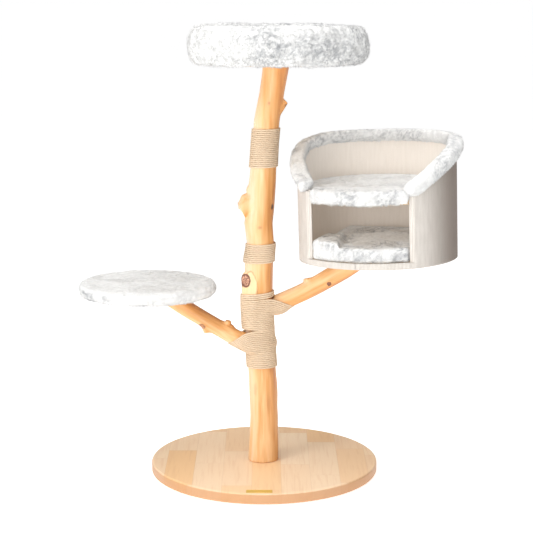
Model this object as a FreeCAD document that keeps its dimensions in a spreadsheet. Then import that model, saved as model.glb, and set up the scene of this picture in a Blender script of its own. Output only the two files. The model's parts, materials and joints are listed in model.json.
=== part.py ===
import FreeCAD, Part
import math
import os
import Sketcher
from FreeCAD import Placement, Rotation, Vector

# A cat tree: a natural log on a round board carries a plush perch, a two-level cubby and a
# bolster bed.  Millimetres.  Origin at the middle of the base's underside, +Z up, front is -Y.

doc = FreeCAD.newDocument("cat_tree")
sheet = doc.addObject("Spreadsheet::Sheet", "sizes")

DRIVING = {
    # base
    "base_diameter": 600, "base_top": 30, "base_edge": 5, "foot_thickness": 2,
    "foot_diameter": 40, "foot_ring": 250, "foot_count": 6, "centre_foot_diameter": 60,
    "plaque_length": 66, "plaque_width": 22, "plaque_thickness": 2, "plaque_depth": 1.5,
    "plaque_x": -12, "plaque_y": -279,
    "bolt_diameter": 10, "bolt_bore": 11, "bolt_reach": 95,
    "bolt_head_width": 17, "bolt_head_height": 6.4,
    "washer_diameter": 28, "washer_thickness": 2.5,
    "counterbore_depth": 12, "counterbore_diameter": 32,
    "dowel_diameter": 10, "dowel_length": 50, "dowel_depth": 18, "dowel_spacing": 44,
    # trunk and branches
    "trunk_top": 1077, "rope_diameter": 5, "branch_bolt_diameter": 8,
    "left_bolt_before": 12, "left_bolt_after": 80, "right_bolt_before": 18, "right_bolt_after": 92,
    "wrap_top_low": 810, "wrap_top_high": 915, "wrap_middle_low": 561, "wrap_middle_high": 616,
    "wrap_main_low": 282, "wrap_main_high": 485, "left_lash_reach": 0.55, "right_lash_reach": 0.42,
    # screws
    "screw_shank": 4, "screw_head": 9, "screw_head_height": 3,
    "perch_screw_length": 38, "bed_screw_length": 70, "bed_screw_ring": 18,
    "floor_screw_length": 42, "deck_screw_length": 23,
    # perch
    "perch_x": -306, "perch_bottom": 478, "perch_diameter": 358, "perch_height": 33, "perch_edge": 13,
    "perch_board_diameter": 344, "perch_board_thickness": 12, "perch_hem_thickness": 3,
    "perch_hem_diameter": 280, "perch_foam_thickness": 14,
    # bed
    "bed_x": 36.6, "bed_board_diameter": 390, "bed_board_thickness": 15, "bed_diameter": 459,
    "bed_height": 98, "bed_inner_diameter": 300, "bed_top_round": 36, "bed_bottom_round": 26,
    "bed_cushion_thickness": 36, "bed_cushion_round": 14, "soft_gap": 0.6,
    # cubby, in its own frame: +Z up its wall, front is -Y, origin under the middle of its floor
    "cubby_x": 298, "cubby_bottom": 576, "cubby_yaw": 21, "cubby_lean": 1.8,
    "cubby_radius": 206, "cubby_front_depth": 197, "cubby_front_radius": 235.3,
    "cubby_wall_front": 149.7, "fabric_thickness": 1.2, "core_thickness": 6.6,
    "floor_thickness": 15, "deck_underside": 161, "deck_thickness": 10, "deck_half_width": 127.4,
    "deck_gap": 0.5, "deck_setback": 12,
    "seat_pad_thickness": 29, "seat_pad_radius": 184, "seat_pad_half_width": 126.8,
    "seat_pad_front": 200,
    "mat_thickness": 38, "mat_half_width": 125.4, "mat_back": 147, "mat_front": 192,
    "rim_arc_radius": 442, "rim_back_height": 298, "rim_flat_start": 130, "rim_half_height": 16,
    "trim_inner_radius": 186, "trim_outer_radius": 221, "trim_mouth_half_width": 127.7,
    "trim_mouth_start": 100, "cleat_width": 40, "cleat_depth": 19, "cleat_height": 18,
    "cleat_screw_inset": 19.1,
}

# Larger than anything it has to cut past.
FAR = 400

# The log's centre line: height, sideways offset, offset to the front or back, diameter.
TRUNK_STATIONS = (
    (30, -3, -12, 79.5), (150, 0, -8, 76), (266, -5, -4, 74.5), (350, -12, 0, 74), (430, -15, 0, 73.5),
    (500, -14, 0, 73), (573, -13, 0, 75), (605, -9, 0, 71), (665, -15, 0, 75), (720, -9, 0, 72),
    (783, -4, 0, 69), (866, 1, 0, 66), (930, 7, 0, 67), (1004, 20, 0, 65), (1077, 30.5, 0, 69),
    (1100, 34, 0, 70),
)
# Branch centre lines: x, y, z, radius, from inside the log to beyond the board they carry.
LEFT_BRANCH = (
    (-20, -22, 336, 21), (-58, -26, 356, 21.5), (-103, -20, 380, 21.5), (-169, -10, 418, 21),
    (-221, -4, 450, 21), (-272, 0, 481, 21), (-310, 0, 504, 21),
)
RIGHT_BRANCH = (
    (-12, 4, 434, 23), (23, 6, 446, 23.5), (94, 4, 477, 23.5), (172, 0, 520, 25), (212, 0, 544, 24.5),
    (255, 0, 574, 25), (300, 0, 608, 26),
)
TABLES = (("trunk", TRUNK_STATIONS), ("left", LEFT_BRANCH), ("right", RIGHT_BRANCH))

# Sawn stubs on the log and branches: the middles and radii of a cone's two ends.
BURL = (Vector(-15, 0, 722), Vector(-60, -4, 698), 35, 23)
RIGHT_STUB = (Vector(15, 0, 944), Vector(57, -3, 981), 25, 7)
LEFT_TWIG = (Vector(-101, -20, 380), Vector(-93, -24, 411), 10, 8)
RIGHT_TWIG = (Vector(112, 3, 487), Vector(110, 3, 517), 13, 8)
# The fork's second stem, and the sawn face that faces front and left.
FORK_STEM = (Vector(-30, -14, 388), Vector(-36.5, -21, 520), 26, 24)
FORK_FACE = Vector(-38.8, -29.3, 521.2)
FORK_FACE_OUTWARD = Vector(-0.35, -0.93, 0.12)
# Where the screws go up into the branch ends: x, y across the board they hold.
PERCH_SCREWS = ((-290, 0), (-262, -9), (-262, 9))
FLOOR_SCREWS = ((238, -9), (238, 9), (270, -9), (270, 9))
BED_SCREW_TURNS = (90, 210, 330)
CLEAT_TURNS = (0, 90, 180)


class Size:
    """A length that knows both its value and the sheet expression it comes from."""

    def __init__(self, text, value):
        self.text = text
        self.value = value

    def __add__(self, other):
        other = as_size(other)
        return Size(f"({self.text} + {other.text})", self.value + other.value)

    def __sub__(self, other):
        other = as_size(other)
        return Size(f"({self.text} - {other.text})", self.value - other.value)

    def __truediv__(self, other):
        other = as_size(other)
        return Size(f"({self.text} / {other.text})", self.value / other.value)

    def __neg__(self):
        return Size(f"(0 - {self.text})", -self.value)


def as_size(number):
    return number if isinstance(number, Size) else Size(str(number), float(number))


def size(alias):
    return Size("sizes." + alias, float(sheet.get(alias)))


def number(alias):
    return size(alias).value


def fill_sheet():
    cells = dict(DRIVING)
    for name, table in TABLES:
        for row, values in enumerate(table):
            for column, value in enumerate(values):
                cells[f"{name}_row{row}_col{column}"] = value
    for line, (alias, value) in enumerate(cells.items(), start=1):
        sheet.set(f"A{line}", alias)
        sheet.set(f"B{line}", str(value))
        sheet.setAlias(f"B{line}", alias)
    doc.recompute()


def table_rows(name, table):
    """Read a table of stations back from the sheet."""
    return [tuple(number(f"{name}_row{row}_col{column}") for column in range(len(values)))
            for row, values in enumerate(table)]


# ---- sketches and features -------------------------------------------------------------------

def new_body(label):
    body = doc.addObject("PartDesign::Body", label)
    body.Label = label
    return body


def new_sketch(body, role, height=None):
    """A sketch on one of the body's own origin planes, raised by height along its normal."""
    sketch = body.newObject("Sketcher::SketchObject", body.Label + "_sketch")
    origin_plane = next(item for item in body.Origin.OriginFeatures if item.Role == role)
    sketch.AttachmentSupport = [(origin_plane, "")]
    sketch.MapMode = "FlatFace"
    if height is not None:
        sketch.setExpression("AttachmentOffset.Base.z", height.text)
    return sketch


def bind(sketch, constraint, length):
    index = sketch.addConstraint(constraint)
    sketch.setExpression(f"Constraints[{index}]", length.text)


def pin(sketch, item, point, x, y):
    """Fix a point of the sketch at x, y from the sketch's origin."""
    for kind, axis, length in (("DistanceX", -2, as_size(x)), ("DistanceY", -1, as_size(y))):
        if abs(length.value) < 1e-9:
            sketch.addConstraint(Sketcher.Constraint("PointOnObject", item, point, axis))
        elif length.value > 0:
            bind(sketch, Sketcher.Constraint(kind, -1, 1, item, point, length.value), length)
        else:
            bind(sketch, Sketcher.Constraint(kind, item, point, -1, 1, -length.value), -length)


def join(sketch, first, first_point, second, second_point):
    sketch.addConstraint(Sketcher.Constraint("Coincident", first, first_point, second, second_point))


def draw_circle(sketch, radius, x=0, y=0):
    centre = Vector(as_size(x).value, as_size(y).value, 0)
    item = sketch.addGeometry(Part.Circle(centre, Vector(0, 0, 1), radius.value))
    pin(sketch, item, 3, x, y)
    bind(sketch, Sketcher.Constraint("Radius", item, radius.value), radius)


def draw_arc(sketch, centre_y, radius, start_degrees, end_degrees):
    """An arc whose centre is on the sketch's vertical axis; its ends are left to other constraints."""
    circle = Part.Circle(Vector(0, as_size(centre_y).value, 0), Vector(0, 0, 1), radius.value)
    arc = Part.ArcOfCircle(circle, math.radians(start_degrees), math.radians(end_degrees))
    item = sketch.addGeometry(arc)
    pin(sketch, item, 3, 0, centre_y)
    bind(sketch, Sketcher.Constraint("Radius", item, radius.value), radius)
    return item


def draw_line(sketch, start, end):
    """A line between two (x, y) pairs; the values only start the solver off."""
    ends = [Vector(as_size(x).value, as_size(y).value, 0) for x, y in (start, end)]
    return sketch.addGeometry(Part.LineSegment(*ends))


def draw_polygon(sketch, corners):
    items = []
    for index, corner in enumerate(corners):
        items.append(draw_line(sketch, corner, corners[(index + 1) % len(corners)]))
    for index, item in enumerate(items):
        join(sketch, item, 2, items[(index + 1) % len(items)], 1)
        pin(sketch, item, 1, *corners[index])


def pad(body, sketch, length):
    feature = body.newObject("PartDesign::Pad", body.Label + "_pad")
    feature.Profile = sketch
    feature.setExpression("Length", length.text)
    doc.recompute()
    return feature


def cut_through(body, sketch):
    """Cut the sketch's outline through the whole body, both ways."""
    before = body.Shape.Volume
    feature = body.newObject("PartDesign::Pocket", body.Label + "_cut")
    feature.Profile = sketch
    feature.SideType = "Symmetric"
    feature.Type = "ThroughAll"
    doc.recompute()
    if body.Shape.Volume > before - 1:
        raise RuntimeError(body.Label + ": a cut removed nothing")


def pocket(body, sketch, depth):
    """Cut down from the sketch's plane."""
    before = body.Shape.Volume
    feature = body.newObject("PartDesign::Pocket", body.Label + "_pocket")
    feature.Profile = sketch
    feature.setExpression("Length", depth.text)
    doc.recompute()
    if body.Shape.Volume > before - 1:
        raise RuntimeError(body.Label + ": a pocket removed nothing")


def turned(label, corners):
    """A body turned about Z from a profile of (radius, height) corners."""
    body = new_body(label)
    sketch = new_sketch(body, "XZ_Plane")
    draw_polygon(sketch, corners)
    feature = body.newObject("PartDesign::Revolution", label + "_turned")
    feature.Profile = sketch
    feature.ReferenceAxis = (sketch, ["V_Axis"])
    feature.Angle = 360
    doc.recompute()
    return body


def round_circles(body, radius, circles):
    """Fillet the circular edges given as (radius, height) pairs."""
    names = []
    rounded = body.Tip
    for index, edge in enumerate(body.Shape.Edges, start=1):
        if not hasattr(edge.Curve, "Radius"):
            continue
        centre = edge.Curve.Center.sub(body.Placement.Base)
        for wanted_radius, wanted_height in circles:
            close = abs(edge.Curve.Radius - wanted_radius.value) < 0.01
            if close and abs(centre.z - wanted_height.value) < 0.01:
                names.append(f"Edge{index}")
    feature = body.newObject("PartDesign::Fillet", body.Label + "_round")
    feature.Base = (rounded, names)
    feature.setExpression("Radius", radius.text)
    doc.recompute()


def solid_node(label, shape, placement=None):
    """A sub-part whose shape is worked out from the sheet's sizes by Part's own functions."""
    feature = doc.addObject("Part::Feature", label)
    feature.Label = label
    feature.Shape = shape
    if placement is not None:
        feature.Placement = placement
    return feature


def without(label, base, tools):
    """The base object less the shapes of the tools, as a sub-part of its own."""
    base.Label = label + "_blank"
    group = solid_node(label + "_holes", Part.makeCompound([tool.Shape for tool in tools]))
    cut = doc.addObject("Part::Cut", label)
    cut.Label = label
    cut.Base = base
    cut.Tool = group
    doc.recompute()
    return cut


# ---- natural wood and rope -------------------------------------------------------------------

def limb(stations):
    """A round tapering stem through stations of centre and radius."""
    wires = []
    for index, (centre, radius) in enumerate(stations):
        before = stations[max(index - 1, 0)][0]
        after = stations[min(index + 1, len(stations) - 1)][0]
        wires.append(Part.Wire([Part.makeCircle(radius, centre, after.sub(before))]))
    return Part.makeLoft(wires, True, False)


def trunk_stations(low=None, high=None, extra=0.0):
    """Trunk stations as centre and radius, cut to a height range by linear interpolation."""
    rows = table_rows("trunk", TRUNK_STATIONS)
    low = rows[0][0] if low is None else low
    high = rows[-1][0] if high is None else high
    heights = [low] + [row[0] for row in rows if low < row[0] < high] + [high]
    stations = []
    for height in heights:
        for (z0, x0, y0, d0), (z1, x1, y1, d1) in zip(rows, rows[1:]):
            if z0 <= height <= z1:
                share = (height - z0) / (z1 - z0)
                centre = Vector(x0 + share * (x1 - x0), y0 + share * (y1 - y0), height)
                radius = (d0 + share * (d1 - d0)) / 2
                break
        stations.append((centre, radius + extra))
    return stations


def trunk_limb(low=None, high=None, extra=0.0):
    """The log or a sleeve round it: its sections stay level, so its ends are level too."""
    wires = [Part.Wire([Part.makeCircle(radius, centre, Vector(0, 0, 1))])
             for centre, radius in trunk_stations(low, high, extra)]
    return Part.makeLoft(wires, True, True)


def branch_stations(name, table, extra=0.0):
    return [(Vector(x, y, z), radius + extra) for x, y, z, radius in table_rows(name, table)]


def stub(start, end, start_radius, end_radius):
    axis = end.sub(start)
    return Part.makeCone(start_radius, end_radius, axis.Length, start, axis)


def rod(start, end, radius):
    axis = end.sub(start)
    return Part.makeCylinder(radius, axis.Length, start, axis)


def box_beyond(placement):
    """A large box above the XY plane of a placement, for cutting away what lies past it."""
    beyond = Part.makeBox(2 * FAR, 2 * FAR, FAR, Vector(-FAR, -FAR, 0))
    beyond.Placement = placement
    return beyond


def fork_lobe():
    """The stump of a second stem with a round top, sawn off along a steep plane."""
    lobe = stub(*FORK_STEM).fuse(Part.makeSphere(FORK_STEM[3], FORK_STEM[1]))
    face = Placement(FORK_FACE, Rotation(Vector(0, 0, 1), FORK_FACE_OUTWARD))
    return lobe.cut(box_beyond(face))


def natural_log():
    log = trunk_limb().fuse([fork_lobe(), stub(*BURL), stub(*RIGHT_STUB)])
    top = Placement(Vector(0, 0, number("trunk_top")), Rotation())
    return log.cut(box_beyond(top))


def screw(length):
    """A countersunk wood screw, head up at the origin, pointing down."""
    head_height = number("screw_head_height")
    shank_radius = number("screw_shank") / 2
    head = Part.makeCone(shank_radius, number("screw_head") / 2, head_height, Vector(0, 0, -head_height))
    shank = Part.makeCylinder(shank_radius, length - head_height, Vector(0, 0, -length))
    return head.fuse(shank).removeSplitter()


def screw_group(label, length, places, placement=None):
    solids = []
    for place in places:
        solid = screw(length)
        solid.translate(place)
        solids.append(solid)
    return solid_node(label, Part.makeCompound(solids), placement)


# ---- base ------------------------------------------------------------------------------------

def make_base():
    bottom = size("foot_thickness")
    top = size("base_top")
    radius = size("base_diameter") / 2
    bore = size("bolt_bore") / 2
    counterbore = size("counterbore_diameter") / 2
    shelf = bottom + size("counterbore_depth")
    board = turned("base_board", [
        (bore, shelf), (counterbore, shelf), (counterbore, bottom),
        (radius, bottom), (radius, top), (bore, top)])
    round_circles(board, size("base_edge"), [(radius, bottom), (radius, top)])

    recess = new_sketch(board, "XY_Plane", top)
    x = size("plaque_x")
    y = size("plaque_y")
    half_length = size("plaque_length") / 2
    half_width = size("plaque_width") / 2
    draw_polygon(recess, [
        (x - half_length, y - half_width), (x + half_length, y - half_width),
        (x + half_length, y + half_width), (x - half_length, y + half_width)])
    pocket(board, recess, size("plaque_depth"))

    sockets = new_sketch(board, "XY_Plane", top)
    for side in (-1, 1):
        offset = size("dowel_spacing") / (2 * side)
        draw_circle(sockets, size("dowel_diameter") / 2, 0, offset)
    pocket(board, sockets, size("dowel_depth"))
    return board


def make_plaque():
    plaque = doc.addObject("Part::Box", "base_plaque")
    plaque.Label = "base_plaque"
    plaque.setExpression("Length", "sizes.plaque_length")
    plaque.setExpression("Width", "sizes.plaque_width")
    plaque.setExpression("Height", "sizes.plaque_thickness")
    corner_x = size("plaque_x") - size("plaque_length") / 2
    corner_y = size("plaque_y") - size("plaque_width") / 2
    corner_z = size("base_top") - size("plaque_depth")
    plaque.setExpression("Placement.Base.x", corner_x.text)
    plaque.setExpression("Placement.Base.y", corner_y.text)
    plaque.setExpression("Placement.Base.z", corner_z.text)
    return plaque


def make_feet():
    """Non-slip pads: a ring of them, and one in the middle that covers the trunk bolt's counterbore."""
    feet = [Part.makeCylinder(number("centre_foot_diameter") / 2, number("foot_thickness"))]
    count = int(number("foot_count"))
    for index in range(count):
        angle = math.radians(360 / count * (index + 0.5))
        ring = number("foot_ring")
        spot = Vector(ring * math.cos(angle), ring * math.sin(angle), 0)
        feet.append(Part.makeCylinder(number("foot_diameter") / 2, number("foot_thickness"), spot))
    return solid_node("base_feet", Part.makeCompound(feet))


def make_trunk_fixings():
    shelf = number("foot_thickness") + number("counterbore_depth")
    washer_low = shelf - number("washer_thickness")
    head_low = washer_low - number("bolt_head_height")
    across = number("bolt_head_width") / math.sqrt(3)
    corners = []
    for turn in range(7):
        angle = math.radians(60 * turn)
        corners.append(Vector(across * math.cos(angle), across * math.sin(angle), head_low))
    head = Part.Face(Part.makePolygon(corners)).extrude(Vector(0, 0, number("bolt_head_height")))
    shank_top = Vector(0, 0, head_low + number("bolt_reach"))
    shank = rod(Vector(0, 0, washer_low), shank_top, number("bolt_diameter") / 2)
    bolt = solid_node("trunk_bolt", head.fuse(shank).removeSplitter())
    washer = turned("trunk_washer", [
        (size("bolt_bore") / 2, as_size(washer_low)), (size("washer_diameter") / 2, as_size(washer_low)),
        (size("washer_diameter") / 2, as_size(shelf)), (size("bolt_bore") / 2, as_size(shelf))])
    low = number("base_top") - number("dowel_depth")
    high = low + number("dowel_length")
    dowels = []
    for side in (-1, 1):
        y = side * number("dowel_spacing") / 2
        dowels.append(rod(Vector(0, y, low), Vector(0, y, high), number("dowel_diameter") / 2))
    return bolt, washer, solid_node("trunk_dowels", Part.makeCompound(dowels))


# ---- perch and bed ---------------------------------------------------------------------------

def move_to(body, x):
    body.setExpression("Placement.Base.x", x.text)
    doc.recompute()
    return body


def make_perch():
    bottom = size("perch_bottom")
    board_low = bottom + size("perch_hem_thickness")
    board_high = board_low + size("perch_board_thickness")
    foam_high = board_high + size("perch_foam_thickness")
    top = bottom + size("perch_height")
    inner = size("perch_board_diameter") / 2
    outer = size("perch_diameter") / 2
    hem = size("perch_hem_diameter") / 2
    zero = as_size(0)
    board = turned("perch_board", [
        (zero, board_low), (inner, board_low), (inner, board_high), (zero, board_high)])
    foam = turned("perch_foam", [
        (zero, board_high), (inner, board_high), (inner, foam_high), (zero, foam_high)])
    cover = turned("perch_cover", [
        (hem, bottom), (outer, bottom), (outer, top), (zero, top), (zero, foam_high), (inner, foam_high),
        (inner, board_low), (hem, board_low)])
    round_circles(cover, size("perch_edge"), [(outer, bottom), (outer, top)])
    return [move_to(body, size("perch_x")) for body in (board, foam, cover)]


def make_bed():
    bottom = size("trunk_top")
    board_high = bottom + size("bed_board_thickness")
    top = bottom + size("bed_height")
    board_radius = size("bed_board_diameter") / 2
    outer = size("bed_diameter") / 2
    inner = size("bed_inner_diameter") / 2
    gap = size("soft_gap")
    zero = as_size(0)
    board = turned("bed_board", [
        (zero, bottom), (board_radius, bottom), (board_radius, board_high), (zero, board_high)])
    bolster = turned("bed_bolster", [
        (board_radius, bottom), (outer, bottom), (outer, top), (inner, top), (inner, board_high),
        (board_radius, board_high)])
    round_circles(bolster, size("bed_top_round"), [(outer, top), (inner, top)])
    round_circles(bolster, size("bed_bottom_round"), [(outer, bottom)])
    cushion_low = board_high + gap
    cushion_top = cushion_low + size("bed_cushion_thickness")
    cushion_radius = inner - gap
    cushion = turned("bed_cushion", [
        (zero, cushion_low), (cushion_radius, cushion_low),
        (cushion_radius, cushion_top), (zero, cushion_top)])
    edges = [(cushion_radius, cushion_low), (cushion_radius, cushion_top)]
    round_circles(cushion, size("bed_cushion_round"), edges)
    return [move_to(body, size("bed_x")) for body in (board, bolster, cushion)]


# ---- cubby -----------------------------------------------------------------------------------

def cubby_frame():
    turn = Rotation(Vector(0, 0, 1), -number("cubby_yaw"))
    lean = Rotation(Vector(0, 1, 0), -number("cubby_lean"))
    return Placement(Vector(number("cubby_x"), 0, number("cubby_bottom")), lean.multiply(turn))


def front_centre():
    """How far behind the drum's axis the flatter front arc has its centre."""
    return size("cubby_front_radius") - size("cubby_front_depth")


def draw_drum(sketch, inset):
    """The drum's outline seen from above: a round back and a flatter round front."""
    front = draw_arc(sketch, front_centre(), size("cubby_front_radius") - inset, 231, 309)
    back = draw_arc(sketch, 0, size("cubby_radius") - inset, -45, 225)
    join(sketch, front, 2, back, 1)
    join(sketch, back, 2, front, 1)


def draw_tongue(sketch, back_radius, half_width, front_depth):
    """A round back that narrows to a tongue between the wall's front ends, with a bowed front."""
    front_radius = size("cubby_front_radius")
    front = draw_arc(sketch, front_radius - front_depth, front_radius, 236, 304)
    back = draw_arc(sketch, 0, back_radius, -45, 225)
    near = -size("cubby_wall_front")
    right = draw_line(sketch, (half_width, near - 10), (half_width, near + 10))
    left = draw_line(sketch, (-half_width, near + 10), (-half_width, near - 10))
    join(sketch, front, 2, right, 1)
    join(sketch, right, 2, back, 1)
    join(sketch, back, 2, left, 1)
    join(sketch, left, 2, front, 1)
    for line in (right, left):
        sketch.addConstraint(Sketcher.Constraint("Vertical", line))
    bind(sketch, Sketcher.Constraint("DistanceX", -1, 1, right, 1, half_width.value), half_width)
    bind(sketch, Sketcher.Constraint("DistanceX", left, 1, -1, 1, half_width.value), half_width)


def draw_rim_cut(sketch, offset, level):
    """Everything between the rim's line, moved out by offset, and a level far above or below it.

    The sketch looks along X, with Y across: the rim runs level over the back and then falls to
    the front along an arc.
    """
    arc_radius = size("rim_arc_radius") + offset
    flat_start = size("rim_flat_start")
    centre_z = size("rim_back_height") - size("rim_arc_radius")
    crest = centre_z + arc_radius
    back_end = size("cubby_radius") + 50
    front_end = -size("cubby_wall_front") - 15
    middle = Vector(flat_start.value, centre_z.value, 0)
    circle = Part.Circle(middle, Vector(0, 0, 1), arc_radius.value)
    arc = sketch.addGeometry(Part.ArcOfCircle(circle, math.radians(90), math.radians(136)))
    pin(sketch, arc, 3, flat_start, centre_z)
    bind(sketch, Sketcher.Constraint("Radius", arc, arc_radius.value), arc_radius)
    corners = [(front_end, centre_z), (front_end, level), (back_end, level), (back_end, crest),
               (flat_start, crest)]
    lines = [draw_line(sketch, start, end) for start, end in zip(corners, corners[1:])]
    join(sketch, arc, 2, lines[0], 1)
    for line, following in zip(lines, lines[1:]):
        join(sketch, line, 2, following, 1)
    join(sketch, lines[-1], 2, arc, 1)
    pin(sketch, lines[0], 2, front_end, level)
    pin(sketch, lines[1], 2, back_end, level)
    bind(sketch, Sketcher.Constraint("DistanceX", -1, 1, arc, 1, flat_start.value), flat_start)
    for kind, line in (("Vertical", lines[0]), ("Vertical", lines[2]), ("Horizontal", lines[3])):
        sketch.addConstraint(Sketcher.Constraint(kind, line))


def cut_front(body, half_width, front):
    """Open the front: cut away everything forward of a plane, up to a half width each side."""
    sketch = new_sketch(body, "XY_Plane")
    far = as_size(-FAR)
    draw_polygon(sketch, [
        (-half_width, far), (half_width, far), (half_width, -front), (-half_width, -front)])
    cut_through(body, sketch)


def wall_shell(label, outer, inner, low):
    """One layer of the drum's wall: a ring, open at the front, its top cut along the rim."""
    body = new_body(label)
    ring = new_sketch(body, "XY_Plane", low)
    draw_circle(ring, outer)
    draw_circle(ring, inner)
    pad(body, ring, size("rim_back_height"))
    cut_front(body, as_size(FAR), size("cubby_wall_front"))
    above = new_sketch(body, "YZ_Plane")
    draw_rim_cut(above, -size("rim_half_height"), as_size(FAR))
    cut_through(body, above)
    return body


def drum_board(label, inset, low, thickness):
    body = new_body(label)
    sketch = new_sketch(body, "XY_Plane", low)
    draw_drum(sketch, inset)
    pad(body, sketch, thickness)
    return body


def tongue_board(label, back_radius, half_width, front_depth, low, thickness):
    body = new_body(label)
    sketch = new_sketch(body, "XY_Plane", low)
    draw_tongue(sketch, back_radius, half_width, front_depth)
    pad(body, sketch, thickness)
    return body


def make_outer_cover(frame):
    """Ribbed fabric: a band round the floor's edge and the wall's outside, in one piece."""
    fabric = size("fabric_thickness")
    outer = size("cubby_radius")
    wall = wall_shell("cover_wall", outer, outer - fabric, size("floor_thickness"))
    band = drum_board("cover_band", as_size(0), as_size(0), size("floor_thickness"))
    hollow = new_sketch(band, "XY_Plane", size("floor_thickness"))
    draw_drum(hollow, fabric)
    pocket(band, hollow, size("floor_thickness") + 1)
    fuse = doc.addObject("Part::Fuse", "cubby_outer_cover")
    fuse.Label = "cubby_outer_cover"
    fuse.Base = band
    fuse.Tool = wall
    fuse.Placement = frame
    doc.recompute()
    return fuse


def make_rim_trim():
    """The padded rim: a band of a thicker ring, open at the front like the wall."""
    body = new_body("cubby_rim_trim")
    low = size("floor_thickness")
    ring = new_sketch(body, "XY_Plane", low)
    draw_circle(ring, size("trim_outer_radius"))
    draw_circle(ring, size("trim_inner_radius"))
    pad(body, ring, size("rim_back_height"))
    cut_front(body, as_size(FAR), size("cubby_wall_front"))
    cut_front(body, size("trim_mouth_half_width"), size("trim_mouth_start"))
    half = size("rim_half_height")
    for offset, level in ((half, as_size(FAR)), (-half, low - 1)):
        edge = new_sketch(body, "YZ_Plane")
        draw_rim_cut(edge, offset, level)
        cut_through(body, edge)
    return body


def make_cabin_mat():
    """The loose mat: straight sides, so that it slides out between the wall's front ends."""
    body = new_body("cabin_mat")
    sketch = new_sketch(body, "XY_Plane", size("floor_thickness") + size("soft_gap"))
    half_width = size("mat_half_width")
    back = size("mat_back")
    front_radius = size("cubby_front_radius")
    arc = draw_arc(sketch, front_radius - size("mat_front"), front_radius, 236, 304)
    near = -size("cubby_wall_front")
    corners = [(half_width, near), (half_width, back), (-half_width, back), (-half_width, near)]
    lines = [draw_line(sketch, start, end) for start, end in zip(corners, corners[1:])]
    join(sketch, arc, 2, lines[0], 1)
    join(sketch, lines[0], 2, lines[1], 1)
    join(sketch, lines[1], 2, lines[2], 1)
    join(sketch, lines[2], 2, arc, 1)
    pin(sketch, lines[0], 2, half_width, back)
    pin(sketch, lines[1], 2, -half_width, back)
    for line in (lines[0], lines[2]):
        sketch.addConstraint(Sketcher.Constraint("Vertical", line))
    pad(body, sketch, size("mat_thickness"))
    return body


def make_cleats(frame):
    """Three blocks glued inside the wall, curved to the lining, that the deck rests on."""
    outer = number("cubby_radius") - 2 * number("fabric_thickness") - number("core_thickness")
    height = number("cleat_height")
    low = number("deck_underside") - height
    ring = Part.makeCylinder(outer, height, Vector(0, 0, low))
    ring = ring.cut(Part.makeCylinder(outer - number("cleat_depth"), height, Vector(0, 0, low)))
    half = number("cleat_width") / 2
    cleats = []
    for degrees in CLEAT_TURNS:
        block = Part.makeBox(outer + 10, 2 * half, height, Vector(0, -half, low))
        block.rotate(Vector(0, 0, 0), Vector(0, 0, 1), degrees)
        cleats.append(ring.common(block))
    return solid_node("cubby_deck_cleats", Part.makeCompound(cleats), frame)


def make_cubby(frame):
    fabric = size("fabric_thickness")
    floor = size("floor_thickness")
    core_outer = size("cubby_radius") - fabric
    core_inner = core_outer - size("core_thickness")
    lining_inner = core_inner - fabric
    gap = size("soft_gap")
    deck_top = size("deck_underside") + size("deck_thickness")
    bodies = [
        wall_shell("cubby_wall_core", core_outer, core_inner, floor),
        wall_shell("cubby_lining", core_inner, lining_inner, floor),
        tongue_board("seat_pad", size("seat_pad_radius"), size("seat_pad_half_width"),
                     size("seat_pad_front"), deck_top + gap, size("seat_pad_thickness")),
        make_cabin_mat(),
        make_rim_trim(),
    ]
    floor_board = drum_board("cubby_floor_board", fabric, as_size(0), floor)
    deck_front = size("cubby_front_depth") - size("deck_setback")
    deck_board = tongue_board("cubby_deck_board", lining_inner - size("deck_gap"),
                              size("deck_half_width"), deck_front,
                              size("deck_underside"), size("deck_thickness"))
    for body in bodies + [floor_board, deck_board]:
        body.Placement = frame
    doc.recompute()
    return bodies, floor_board, deck_board


def cubby_screws(frame):
    """Screws down through the floor into the branch's end, and through the deck into its cleats."""
    back = frame.inverse()
    floor_places = []
    for x, y in FLOOR_SCREWS:
        spot = back.multVec(Vector(x, y, number("cubby_bottom")))
        floor_places.append(Vector(spot.x, spot.y, number("floor_thickness")))
    reach = number("cubby_radius") - number("cleat_screw_inset")
    deck_top = number("deck_underside") + number("deck_thickness")
    deck_places = []
    for degrees in CLEAT_TURNS:
        angle = math.radians(degrees)
        deck_places.append(Vector(reach * math.cos(angle), reach * math.sin(angle), deck_top))
    return [
        screw_group("cubby_floor_screws", number("floor_screw_length"), floor_places, frame),
        screw_group("cubby_deck_screws", number("deck_screw_length"), deck_places, frame),
    ]


# ---- assembly --------------------------------------------------------------------------------

def branch_bolt(label, stations, before, after):
    """A double-ended screw on the line between a branch's first two stations."""
    start, end = stations[0][0], stations[1][0]
    along = end.sub(start).normalize()
    first = start.sub(along * before)
    last = start.add(along * after)
    return solid_node(label, rod(first, last, number("branch_bolt_diameter") / 2))


def largest(shape):
    return max(shape.Solids, key=lambda solid: solid.Volume)


def board_screws():
    """Screws down through the perch and bed boards into the wood that carries them."""
    perch_top = (number("perch_bottom") + number("perch_hem_thickness")
                 + number("perch_board_thickness"))
    perch_places = [Vector(x, y, perch_top) for x, y in PERCH_SCREWS]
    bed_top = number("trunk_top") + number("bed_board_thickness")
    trunk_end = trunk_stations(high=number("trunk_top"))[-1][0]
    ring = number("bed_screw_ring")
    bed_places = []
    for degrees in BED_SCREW_TURNS:
        angle = math.radians(degrees)
        bed_places.append(Vector(trunk_end.x + ring * math.cos(angle), ring * math.sin(angle), bed_top))
    return [
        screw_group("perch_screws", number("perch_screw_length"), perch_places),
        screw_group("bed_screws", number("bed_screw_length"), bed_places),
    ]


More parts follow.
